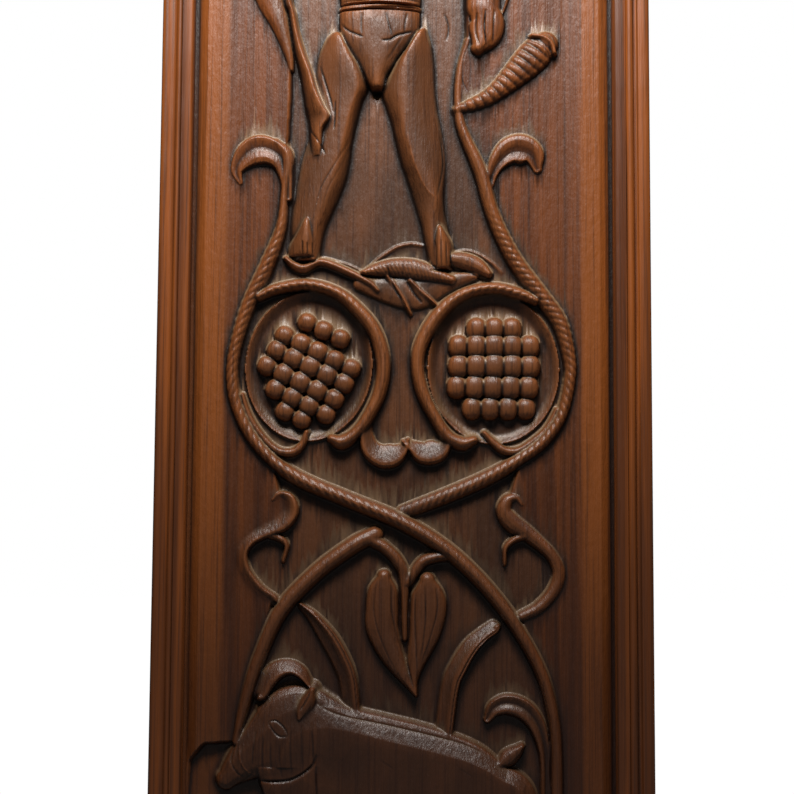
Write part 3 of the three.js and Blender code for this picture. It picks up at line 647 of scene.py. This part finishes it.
def field_outline():
    """The sunk ground inside the vines, as in the solids."""
    left = plan_points(LEFT_VINE)
    right = plan_points(RIGHT_VINE)
    return [
        (-88, CUT), *plan_points(CLOAK)[1:], (-72.2, 185.5), (-73.2, 166), *left[1:11],
        *plan_points(LEFT_SCROLL)[-2::-1], *plan_points(BRANCH)[4:],
        (-104, -216), (-120, -217), (-128.5, -227), (-131, -CUT),
        *left[16:][::-1], *plan_points(RIGHT_SCROLL)[:-2], *right[1:15][::-1], (38, 220), (39, CUT),
    ]


def ground(random, inside):
    height = np.repeat(margin_profile()[None, :], ROWS, axis=0)
    height = height + (FIELD_FLOOR - height) * inside
    for oval in (LEFT_MEDALLION, RIGHT_MEDALLION):
        depth = oval_depth(*oval)
        cove = np.sin(np.clip(depth / MEDALLION_COVE, 0, 1) * math.pi / 2)
        height = np.where(depth > 0, MEDALLION_RIM - (MEDALLION_RIM - MEDALLION_FLOOR) * cove, height)
    return height + 0.14 * noise(random, 6, 40) + 0.05 * noise(random, 2.2, 16)


# ---- the carving ----

def grapes(relief, bunch, along_radius, across_radius):
    """Rows of berries that sit together, highest in the middle of the bunch."""
    (step_x, step_z), rows = bunch
    tilt = math.atan2(step_z, step_x)
    centres = [(x + step_x * i, z + step_z * i) for x, z, count in rows for i in range(count)]
    middle = np.mean(centres, axis=0)
    reach = max(math.dist(centre, middle) for centre in centres)
    for x, z in centres:
        outward = math.dist((x, z), middle) / reach
        size = 1.17 - 0.16 * outward ** 2
        top = BUNCH_HEIGHT + BERRY_SWELL * (1 - outward ** 2)
        relief.berry(x, z, tilt, along_radius * size, across_radius * size, top)


def carve_vines(relief):
    relief.limb(LEFT_TENDRIL, ROUND, 21)
    relief.limb(RIGHT_TENDRIL, ROUND, 21)
    relief.limb(RIGHT_VINE, CORD, shape=twist(5, -0.9, 0.5, 0.32, 1))
    relief.limb(LEFT_RING, CORD, 24.5, shape=twist(5, 0.8, 0.45, 0.02, 0.4))
    relief.limb(RIGHT_RING, CORD, 24.5, shape=twist(5, -0.8, 0.45, 0.02, 0.4))
    relief.limb(LEFT_VINE, CORD, shape=twist(6, 1.4, 0.5, 0.1, 0.6))
    relief.limb(LEFT_SCROLL, LIP, 22.5)
    relief.limb(LEFT_SCROLL_LOBE, ROUND, 21)
    relief.limb(RIGHT_SCROLL, CORD, 22.5)
    relief.limb(RIGHT_SCROLL_LOBE, ROUND, 21)
    relief.limb(BRANCH, CORD)
    relief.limb(LEFT_SCALLOP, LIP, 22)
    relief.limb(RIGHT_SCALLOP, LIP, 22)


def carve_leaves(relief):
    relief.limb(LEFT_HOOK_LEAF, LEAF, foot=OUTER_FOOT)
    relief.limb(RIGHT_HOOK_LEAF, LEAF, foot=OUTER_FOOT)
    relief.limb(LOW_HOOK_LEAF, LEAF, 21.5)
    relief.limb(LEFT_BLADE, BLADE, 22)
    relief.limb(RIGHT_BLADE, BLADE, 22)
    relief.limb(HEART_STEM_LEFT, CORD)
    relief.limb(HEART_STEM_RIGHT, CORD)
    relief.limb(HEART_LEFT, ROUND, 22.5)
    relief.limb(HEART_RIGHT, ROUND, 22.5)


def carve_hillock(relief):
    relief.limb(HILLOCK, ROUND, 19.5)
    relief.limb(LEFT_LEDGE, CORD, 21.5)
    relief.limb(MIDDLE_HUMP, ROUND, 22.5, shape=twist(2.6, 0.6, 0.35))
    relief.limb(RIGHT_HUMP, ROUND, 22)
    for blade in GRASS:
        relief.limb(blade, ARRIS, 21)


def carve_figure(relief):
    relief.limb(CLOAK, ROUND, 22)
    relief.body(LEFT_LEG)
    relief.body(RIGHT_LEG)
    relief.body(LEFT_FOOT, blend=1)
    relief.body(RIGHT_FOOT, blend=1)
    relief.body(TORSO, rounding=0.45)
    relief.body(WAIST, rounding=0.35, blend=0.6)
    relief.body(TRUNKS, rounding=0.3, blend=0.5)
    relief.body(SASH, blend=1)
    relief.limb(HORN, ROUND, 25, foot=OUTER_FOOT, shape=twist(5.3, 0.15, 0.9))
    relief.limb(HORN_RIM, CORD, 26, foot=OUTER_FOOT)
    relief.limb(TASSEL, ROUND, 26, foot=OUTER_FOOT)
    relief.limb(TASSEL_TOP, ROUND, 25, foot=OUTER_FOOT)
    relief.limb(TASSEL_CORD, ARRIS, 21.5)


def carve_horse(relief):
    relief.limb(HORSE_BODY, BODY, 27.5)
    relief.limb(HORSE_HEAD, ROUND, 26, blend=5)
    relief.limb(FORELOCK, LIP, 24)
    relief.limb(EAR, ROUND, 28.5, foot=22, blend=0.6)
    relief.limb(TAIL, ROUND, 23.5)


def carved(random):
    """The whole relief, and how far each cell is in the sunk field."""
    sunk = np.clip(blur(polygon_mask(field_outline()).astype(float), 1.3) * 1.6 - 0.3, 0, 1)
    relief = Relief(ground(random, sunk))
    carve_vines(relief)
    carve_leaves(relief)
    carve_hillock(relief)
    carve_figure(relief)
    carve_horse(relief)
    grapes(relief, LEFT_GRAPES, 5.9, 5.8)
    grapes(relief, RIGHT_GRAPES, 6.1, 6.9)
    for points, width, depth in FOLDS + HILL_LINES + BODY_LINES + LEAF_LINES:
        relief.cut(points, width, depth)
    relief.height += relief.raised * (0.16 * noise(random, 3.5, 7) + 0.1 * noise(random, 1.6, 5))
    relief.height = blur(relief.height, 0.3)
    return relief, sunk


# ---- meshes ----

def board_mesh(height):
    """The carved front closed by the flat back, the shoulders and the tongues in the stiles' grooves."""
    right = [
        (FRONT_RIGHT, TONGUE_FRONT), (board_high.x, TONGUE_FRONT), (board_high.x, TONGUE_BACK),
        (right_low.x - CLEARANCE, TONGUE_BACK), (right_low.x - CLEARANCE, 0),
    ]
    left = [
        (left_high.x + CLEARANCE, 0), (left_high.x + CLEARANCE, TONGUE_BACK), (board_low.x, TONGUE_BACK),
        (board_low.x, TONGUE_FRONT), (FRONT_LEFT, TONGUE_FRONT),
    ]
    loop_x = np.concatenate([XS, [x for x, _ in right], [x for x, _ in left]])
    tail = np.array([h for _, h in right] + [h for _, h in left], float)
    count = len(loop_x)
    points = np.zeros((ROWS, count, 3))
    points[:, :, 0] = loop_x
    points[:, :COLUMNS, 1] = -height
    points[:, COLUMNS:, 1] = -tail
    points[:, :, 2] = ZS[:, None]
    row = np.arange(ROWS - 1)[:, None] * count
    column = np.arange(count)[None, :]
    after = (column + 1) % count
    above = row + count
    quads = np.stack([row + column, row + after, above + after, above + column], axis=-1).reshape(-1, 4)
    bottom = list(range(count))[::-1]
    top = [(ROWS - 1) * count + i for i in range(count)]
    mesh = bpy.data.meshes.new("carved_board")
    mesh.from_pydata((points.reshape(-1, 3) * MM).tolist(), [], quads.tolist() + [bottom, top])
    return mesh


def sampled(field, mesh):
    """The field's value at each vertex of the mesh, 0 behind the front."""
    points = np.zeros(len(mesh.vertices) * 3)
    mesh.vertices.foreach_get("co", points)
    points = points.reshape(-1, 3) / MM
    at_x = np.clip((points[:, 0] - XS[0]) / (XS[1] - XS[0]), 0, COLUMNS - 1.001)
    at_z = np.clip((points[:, 2] - ZS[0]) / (ZS[1] - ZS[0]), 0, ROWS - 1.001)
    column = at_x.astype(int)
    row = at_z.astype(int)
    part_x = at_x - column
    part_z = at_z - row
    low = field[row, column] * (1 - part_x) + field[row, column + 1] * part_x
    high = field[row + 1, column] * (1 - part_x) + field[row + 1, column + 1] * part_x
    return low * (1 - part_z) + high * part_z


def decimated(piece, triangles):
    """Thins the piece to a number of triangles, in place."""
    faces = sum(len(polygon.vertices) - 2 for polygon in piece.data.polygons)
    modifier = piece.modifiers.new("thin", "DECIMATE")
    modifier.ratio = triangles / faces
    modifier.use_collapse_triangulate = True
    bpy.context.view_layer.update()
    thin = bpy.data.meshes.new_from_object(piece.evaluated_get(bpy.context.evaluated_depsgraph_get()))
    piece.modifiers.clear()
    piece.data = thin


def shade_smooth(mesh):
    mesh.polygons.foreach_set("use_smooth", [True] * len(mesh.polygons))
    mesh.set_sharp_from_angle(angle=SHARP_ANGLE)


def shown(name, mesh):
    piece = bpy.data.objects.new(name, mesh)
    bpy.context.scene.collection.objects.link(piece)
    return piece


# ---- the stiles ----

# The moulded front of each stile: distance in from the outer edge, and height.
LEFT_MOULDING = [
    (0, 27), (0.4, 28.2), (1, 29), (2.5, 29.4), (4, 29), (5.5, 28), (7, 27.7), (8.5, 27.8), (9.2, 28.4),
    (9.8, 29.5), (10.4, 29.9), (11, 30), (11.6, 29.9), (12.2, 29.5), (12.6, 28.6), (13, 29.4), (15.5, 29.6),
    (18.2, 29.6),
    (19, 29.2), (19.5, 28.4),
]
RIGHT_MOULDING = [
    (0, 26.5), (0.3, 27.4), (0.9, 28), (2.4, 28.3), (4, 28.4), (5.6, 28.3), (7.2, 28), (7.6, 27.2),
    (8, 26.4), (8.8, 26.2), (9.6, 26.2), (10.1, 27.6), (10.4, 28.6), (11.4, 29.7), (12.6, 30), (13.8, 29.7),
    (14.7, 28.8),
    (15, 28.2), (15.4, 29.2), (18.3, 29.5), (21.2, 29.5), (22, 29), (22.5, 28.2),
]


def stile_mesh(name, front, outer, inner, inward):
    """A moulding with the groove for the board's tongue, drawn out along Z in short steps."""
    deep = TONGUE_LENGTH + CLEARANCE
    width = abs(inner - outer)
    back = [
        (width, TONGUE_FRONT + CLEARANCE), (width - deep, TONGUE_FRONT + CLEARANCE),
        (width - deep, TONGUE_BACK - CLEARANCE), (width, TONGUE_BACK - CLEARANCE), (width, 0), (0, 0),
    ]
    outline = list(front) + back
    levels = np.linspace(left_low.z, left_high.z, STILE_STEPS + 1)
    random = np.random.default_rng(SEED + int(width))
    shifts = random.uniform(-STILE_WAVER, STILE_WAVER, STILE_WAVES)
    wander = np.interp(levels, np.linspace(levels[0], levels[-1], STILE_WAVES), shifts)
    points = []
    for z, shift in zip(levels, wander):
        for x, h in outline:
            lifted = h + shift if h > TONGUE_FRONT + 1 else h
            points.append((MM * (outer + inward * x), -MM * min(lifted, STILE_TOP), MM * z))
    count = len(outline)
    faces = []
    for row in range(STILE_STEPS):
        for i in range(count):
            after = (i + 1) % count
            quad = [row * count + i, row * count + after, (row + 1) * count + after, (row + 1) * count + i]
            faces.append(quad if inward > 0 else quad[::-1])
    bottom = list(range(count))
    top = [STILE_STEPS * count + i for i in range(count)]
    faces += [bottom[::-1], top] if inward > 0 else [bottom, top[::-1]]
    mesh = bpy.data.meshes.new(name)
    mesh.from_pydata(points, [], faces)
    return mesh


# ---- node helpers ----

# The colour sockets of a Mix node, whose names are shared with its other sockets.
MIX_FACTOR = 0
MIX_A = 6
MIX_B = 7
MIX_COLOUR = 2


class Nodes:
    """A material's node tree, with short calls for the nodes used here."""

    def __init__(self, name):
        self.material = bpy.data.materials.new(name)
        self.material.use_nodes = True
        self.tree = self.material.node_tree
        self.tree.nodes.clear()
        self.place = self.node("ShaderNodeTexCoord").outputs["Object"]

    def node(self, kind, **settings):
        made = self.tree.nodes.new(kind)
        for key, value in settings.items():
            setattr(made, key, value)
        return made

    def put(self, value, socket):
        if isinstance(value, bpy.types.NodeSocket):
            self.tree.links.new(value, socket)
        elif isinstance(value, tuple) and len(value) == 3 and socket.type == "RGBA":
            socket.default_value = (*value, 1)
        else:
            socket.default_value = value

    def math(self, operation, a, b=0.0):
        made = self.node("ShaderNodeMath", operation=operation)
        self.put(a, made.inputs[0])
        self.put(b, made.inputs[1])
        return made.outputs[0]

    def mix(self, factor, a, b):
        made = self.node("ShaderNodeMix", data_type="RGBA")
        self.put(factor, made.inputs[MIX_FACTOR])
        self.put(a, made.inputs[MIX_A])
        self.put(b, made.inputs[MIX_B])
        return made.outputs[MIX_COLOUR]

    def attribute(self, name):
        return self.node("ShaderNodeAttribute", attribute_name=name).outputs["Fac"]

    def scaled(self, x, y, z):
        made = self.node("ShaderNodeMapping")
        self.put(self.place, made.inputs["Vector"])
        made.inputs["Scale"].default_value = (x, y, z)
        return made.outputs[0]

    def noise(self, scale, detail=3.0, rough=0.55, distortion=0.0):
        """Noise with a feature about 1/scale metres wide along each axis; scale is (x, y, z)."""
        made = self.node("ShaderNodeTexNoise")
        self.put(self.scaled(*scale), made.inputs["Vector"])
        made.inputs["Scale"].default_value = 1.0
        made.inputs["Detail"].default_value = detail
        made.inputs["Roughness"].default_value = rough
        made.inputs["Distortion"].default_value = distortion
        return made.outputs["Fac"]

    def place_along(self, axis):
        """Metres from the panel's middle along an axis."""
        made = self.node("ShaderNodeSeparateXYZ")
        self.put(self.place, made.inputs[0])
        return made.outputs[axis]

    def ramp(self, value, low, high):
        made = self.node("ShaderNodeMapRange", interpolation_type="SMOOTHSTEP")
        self.put(value, made.inputs["Value"])
        made.inputs["From Min"].default_value = low
        made.inputs["From Max"].default_value = high
        return made.outputs[0]

    def bump(self, height, distance, strength=1.0, normal=None):
        made = self.node("ShaderNodeBump")
        self.put(height, made.inputs["Height"])
        made.inputs["Distance"].default_value = distance
        made.inputs["Strength"].default_value = strength
        if normal is not None:
            self.put(normal, made.inputs["Normal"])
        return made.outputs[0]

    def surface(self, colour, roughness, normal):
        shader = self.node("ShaderNodeBsdfPrincipled")
        self.put(colour, shader.inputs["Base Color"])
        self.put(roughness, shader.inputs["Roughness"])
        self.put(normal, shader.inputs["Normal"])
        output = self.node("ShaderNodeOutputMaterial")
        self.tree.links.new(shader.outputs[0], output.inputs["Surface"])
        return self.material


# ---- materials ----

# Linear colours of the stained wood, and of the light and shade painted on it.
GROUND_DARK = (0.070, 0.020, 0.006)
GROUND_LIGHT = (0.165, 0.045, 0.009)
FIELD_DARK = (0.070, 0.028, 0.012)
FIELD_LIGHT = (0.135, 0.048, 0.017)
MARGIN_ORANGE = (0.340, 0.095, 0.014)
LIMB_DARK = (0.050, 0.012, 0.004)
LIMB_LIGHT = (0.150, 0.036, 0.007)
OLD_STAIN = (0.030, 0.010, 0.005)
WORN_RIDGE = (0.32, 0.100, 0.026)
# Pale tone for up-facing hollows: partly dusty, partly a painted lit fillet (painted light).
DUST_AND_PAINTED_LIGHT = (0.330, 0.215, 0.115)
# Near black for hollows that face down or sideways: painted shade.
PAINTED_CREVICE_SHADE = (0.008, 0.004, 0.003)
# Painted shade: the board is darkened toward the bottom.
PAINTED_LOW_SHADE = (0.020, 0.006, 0.003)
STILE_DARK = (0.110, 0.030, 0.007)
STILE_LIGHT = (0.30, 0.080, 0.012)
STILE_RINGS = (0.035, 0.014, 0.008)
# Painted shade: the stiles are darkened toward the bottom.
STILE_PAINTED_LOW_SHADE = (0.030, 0.012, 0.006)

# Painted shade: the wood is darkened downward between these heights, in metres, in place of the light falling
# off toward the bottom.
PAINTED_SHADE_TOP = 0.05
PAINTED_SHADE_BOTTOM = -0.24

# The board's rubbed long margins start this far from its middle, in metres.
MARGIN_START = 0.108
MARGIN_FULL = 0.113


def board_material():
    n = Nodes("carved_wood")
    raised = n.attribute("raised")
    rings = n.noise((640, 640, 8), 4, 0.62, 0.25)
    streaks = n.noise((95, 95, 3.5), 3, 0.55, 0.4)
    patches = n.noise((34, 34, 12), 3, 0.5)
    pores = n.noise((1500, 1500, 110), 2, 0.6)
    mottle = n.noise((330, 330, 170), 3, 0.6)
    painted_falloff = n.ramp(n.place_along("Z"), PAINTED_SHADE_TOP, PAINTED_SHADE_BOTTOM)
    ground = n.mix(n.ramp(streaks, 0.36, 0.64), GROUND_DARK, GROUND_LIGHT)
    field = n.mix(n.ramp(patches, 0.35, 0.65), FIELD_DARK, FIELD_LIGHT)
    ground = n.mix(n.attribute("field"), ground, field)
    band = n.ramp(n.math("ABSOLUTE", n.place_along("X")), MARGIN_START, MARGIN_FULL)
    ground = n.mix(n.math("MULTIPLY", band, 0.6), ground, MARGIN_ORANGE)
    limb = n.mix(n.ramp(patches, 0.36, 0.62), LIMB_DARK, LIMB_LIGHT)
    limb = n.mix(n.math("MULTIPLY", n.ramp(mottle, 0.5, 0.68), 0.55), limb, OLD_STAIN)
    base = n.mix(raised, ground, limb)
    base = n.mix(n.math("MULTIPLY", n.attribute("worn"), 0.75), base, WORN_RIDGE)
    base = n.mix(n.math("MULTIPLY", n.ramp(rings, 0.48, 0.66), 0.5), base, OLD_STAIN)
    # Pale up-facing hollows: partly dusty, partly a painted lit fillet.
    base = n.mix(n.math("MULTIPLY", n.attribute("dust_and_painted_light"), 0.6), base, DUST_AND_PAINTED_LIGHT)
    # Painted shade: near black in hollows that face down or sideways.
    base = n.mix(n.math("MULTIPLY", n.attribute("painted_crevice_shade"), 0.96), base, PAINTED_CREVICE_SHADE)
    # Painted shade: darker toward the bottom.
    base = n.mix(n.math("MULTIPLY", painted_falloff, 0.68), base, PAINTED_LOW_SHADE)
    rough = n.math("ADD", n.math("MULTIPLY", pores, 0.26), 0.26)
    rough = n.math("SUBTRACT", rough, n.math("MULTIPLY", raised, 0.04))
    normal = n.bump(rings, 0.0005, 0.7)
    cuts = n.math("MULTIPLY", mottle, n.math("ADD", n.math("MULTIPLY", raised, 0.8), 0.2))
    normal = n.bump(cuts, 0.0022, 0.85, normal)
    normal = n.bump(pores, 0.00016, 0.7, normal)
    return n.surface(base, rough, normal)


def stile_material():
    n = Nodes("stile_wood")
    rings = n.noise((700, 700, 7), 4, 0.6, 0.2)
    streaks = n.noise((120, 120, 2.6), 3, 0.55, 0.4)
    fine = n.noise((1500, 1500, 100), 2, 0.6)
    base = n.mix(n.ramp(streaks, 0.35, 0.68), STILE_DARK, STILE_LIGHT)
    base = n.mix(n.math("MULTIPLY", n.ramp(rings, 0.45, 0.65), 0.5), base, STILE_RINGS)
    painted_falloff = n.ramp(n.place_along("Z"), PAINTED_SHADE_TOP, PAINTED_SHADE_BOTTOM)
    # Painted shade: darker toward the bottom.
    base = n.mix(n.math("MULTIPLY", painted_falloff, 0.35), base, STILE_PAINTED_LOW_SHADE)
    rough = n.math("ADD", n.math("MULTIPLY", fine, 0.25), 0.26)
    normal = n.bump(rings, 0.0005, 0.7)
    return n.surface(base, rough, normal)


def floor_material():
    """A pale floor: the camera sees it evenly lit, and it throws little light back up at the panel."""
    n = Nodes("pale_floor")
    tone = n.noise((6, 6, 6), 2)
    colour = n.mix(tone, (0.10, 0.10, 0.10), (0.12, 0.12, 0.12))
    n.surface(colour, 0.9, n.bump(tone, 0.0001, 0.1))
    lit = n.node("ShaderNodeEmission")
    lit.inputs["Strength"].default_value = 1.02
    mix = n.node("ShaderNodeMixShader")
    n.put(n.node("ShaderNodeLightPath").outputs["Is Camera Ray"], mix.inputs[0])
    output = n.tree.nodes["Material Output"]
    n.put(output.inputs["Surface"].links[0].from_socket, mix.inputs[1])
    n.put(lit.outputs[0], mix.inputs[2])
    n.put(mix.outputs[0], output.inputs["Surface"])
    return n.material


# ---- the pieces ----

def add_field(mesh, name, values):
    attribute = mesh.attributes.new(name, "FLOAT", "POINT")
    attribute.data.foreach_set("value", values.astype(np.float32))


def dressed(piece, node, material):
    piece.data.materials.append(material)
    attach(piece, "root")
    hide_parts(node)
    return piece


def shades(relief):
    """Where the relief is worn and dusty, and where light and shade are painted on it: hollows that face up
    get a pale tone, partly dusty and partly a painted lit fillet, and hollows that face down or sideways get
    a painted shade of near black."""
    height = relief.height
    slope = np.gradient(blur(height, 0.7), CELL, axis=0)
    upward = np.clip(-slope / 0.5, 0, 1)
    near = blur(height, 0.9) - height
    hollow = np.clip(near / 0.22, 0, 1) * 0.7 + np.clip((blur(height, 2.6) - height) / 0.9, 0, 1) * 0.8
    proud = np.clip(-near / 0.3, 0, 1) * 0.5 + np.clip((height - blur(height, 5)) / 4, 0, 1) * 0.45
    return {
        "raised": blur(relief.raised, 0.4),
        # Up-facing hollows are partly dusty and partly painted light; the other hollows get painted shade.
        "dust_and_painted_light": hollow * upward,
        "painted_crevice_shade": hollow * (1 - upward),
        "worn": proud,
    }


def make_board():
    relief, sunk = carved(np.random.default_rng(SEED))
    piece = shown("carved_panel_relief", board_mesh(relief.height))
    decimated(piece, BOARD_TRIANGLES)
    mesh = piece.data
    shade_smooth(mesh)
    fields = {**shades(relief), "field": sunk}
    for name, field in fields.items():
        add_field(mesh, name, np.clip(sampled(field, mesh), 0, 1))
    return dressed(piece, "carved_panel", board_material())


def make_stiles():
    material = stile_material()
    sides = [
        ("left_stile", LEFT_MOULDING, left_low.x, left_high.x, 1),
        ("right_stile", RIGHT_MOULDING, right_high.x, right_low.x, -1),
    ]
    for node, front, outer, inner, inward in sides:
        piece = shown(node + "_moulding", stile_mesh(node, front, outer, inner, inward))
        shade_smooth(piece.data)
        dressed(piece, node, material)


# ---- floor, light and camera ----

FLOOR_HALF = 4.0
KEY_PLACE = (-0.03, -0.5, 0.66)
KEY_SIZE = (0.42, 0.24)
KEY_WATTS = 9.5
KEY_COLOUR = (1, 0.97, 0.94)
AMBIENT_COLOUR = (0.9, 0.95, 1, 1)
AMBIENT_STRENGTH = 0.05
CAMERA_LENS = 74.06
CAMERA_PLACE = (-0.0042, -1.02559, -0.09986)
CAMERA_PITCH = math.radians(5.386)
CAMERA_ROLL = math.radians(0.348)


def make_floor():
    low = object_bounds()[0]
    size = FLOOR_HALF
    mesh = bpy.data.meshes.new("floor")
    corners = [(x, y, low.z) for x, y in ((-size, -size), (size, -size), (size, size), (-size, size))]
    mesh.from_pydata(corners, [], [(0, 1, 2, 3)])
    floor = shown("floor", mesh)
    mesh.materials.append(floor_material())


def soft_light(name, place, target, size, power, colour):
    data = bpy.data.lights.new(name, "AREA")
    data.shape = "RECTANGLE"
    data.size, data.size_y = size
    data.energy = power
    data.color = colour
    light = bpy.data.objects.new(name, data)
    bpy.context.scene.collection.objects.link(light)
    light.location = place
    light.rotation_euler = (Vector(target) - Vector(place)).to_track_quat("-Z", "Y").to_euler()


def make_lights():
    soft_light("key_lamp", KEY_PLACE, (0, 0, 0), KEY_SIZE, KEY_WATTS, KEY_COLOUR)
    world = bpy.data.worlds.new("studio")
    world.use_nodes = True
    nodes = world.node_tree.nodes
    links = world.node_tree.links
    nodes.clear()
    path = nodes.new("ShaderNodeLightPath")
    seen = nodes.new("ShaderNodeBackground")
    seen.inputs["Color"].default_value = (1, 1, 1, 1)
    lit = nodes.new("ShaderNodeBackground")
    lit.inputs["Color"].default_value = AMBIENT_COLOUR
    lit.inputs["Strength"].default_value = AMBIENT_STRENGTH
    mix = nodes.new("ShaderNodeMixShader")
    out = nodes.new("ShaderNodeOutputWorld")
    links.new(path.outputs["Is Camera Ray"], mix.inputs[0])
    links.new(lit.outputs[0], mix.inputs[1])
    links.new(seen.outputs[0], mix.inputs[2])
    links.new(mix.outputs[0], out.inputs["Surface"])
    bpy.context.scene.world = world


def make_camera():
    data = bpy.data.cameras.new("camera")
    data.lens = CAMERA_LENS
    data.sensor_width = 36
    camera = bpy.data.objects.new("camera", data)
    bpy.context.scene.collection.objects.link(camera)
    place = Matrix.Translation(CAMERA_PLACE)
    pitch = Matrix.Rotation(math.radians(90) + CAMERA_PITCH, 4, "X")
    roll = Matrix.Rotation(CAMERA_ROLL, 4, "Z")
    camera.matrix_world = place @ pitch @ roll
    bpy.context.scene.camera = camera


make_board()
make_stiles()
make_floor()
make_lights()
make_camera()
bpy.context.scene.view_settings.view_transform = "Standard"
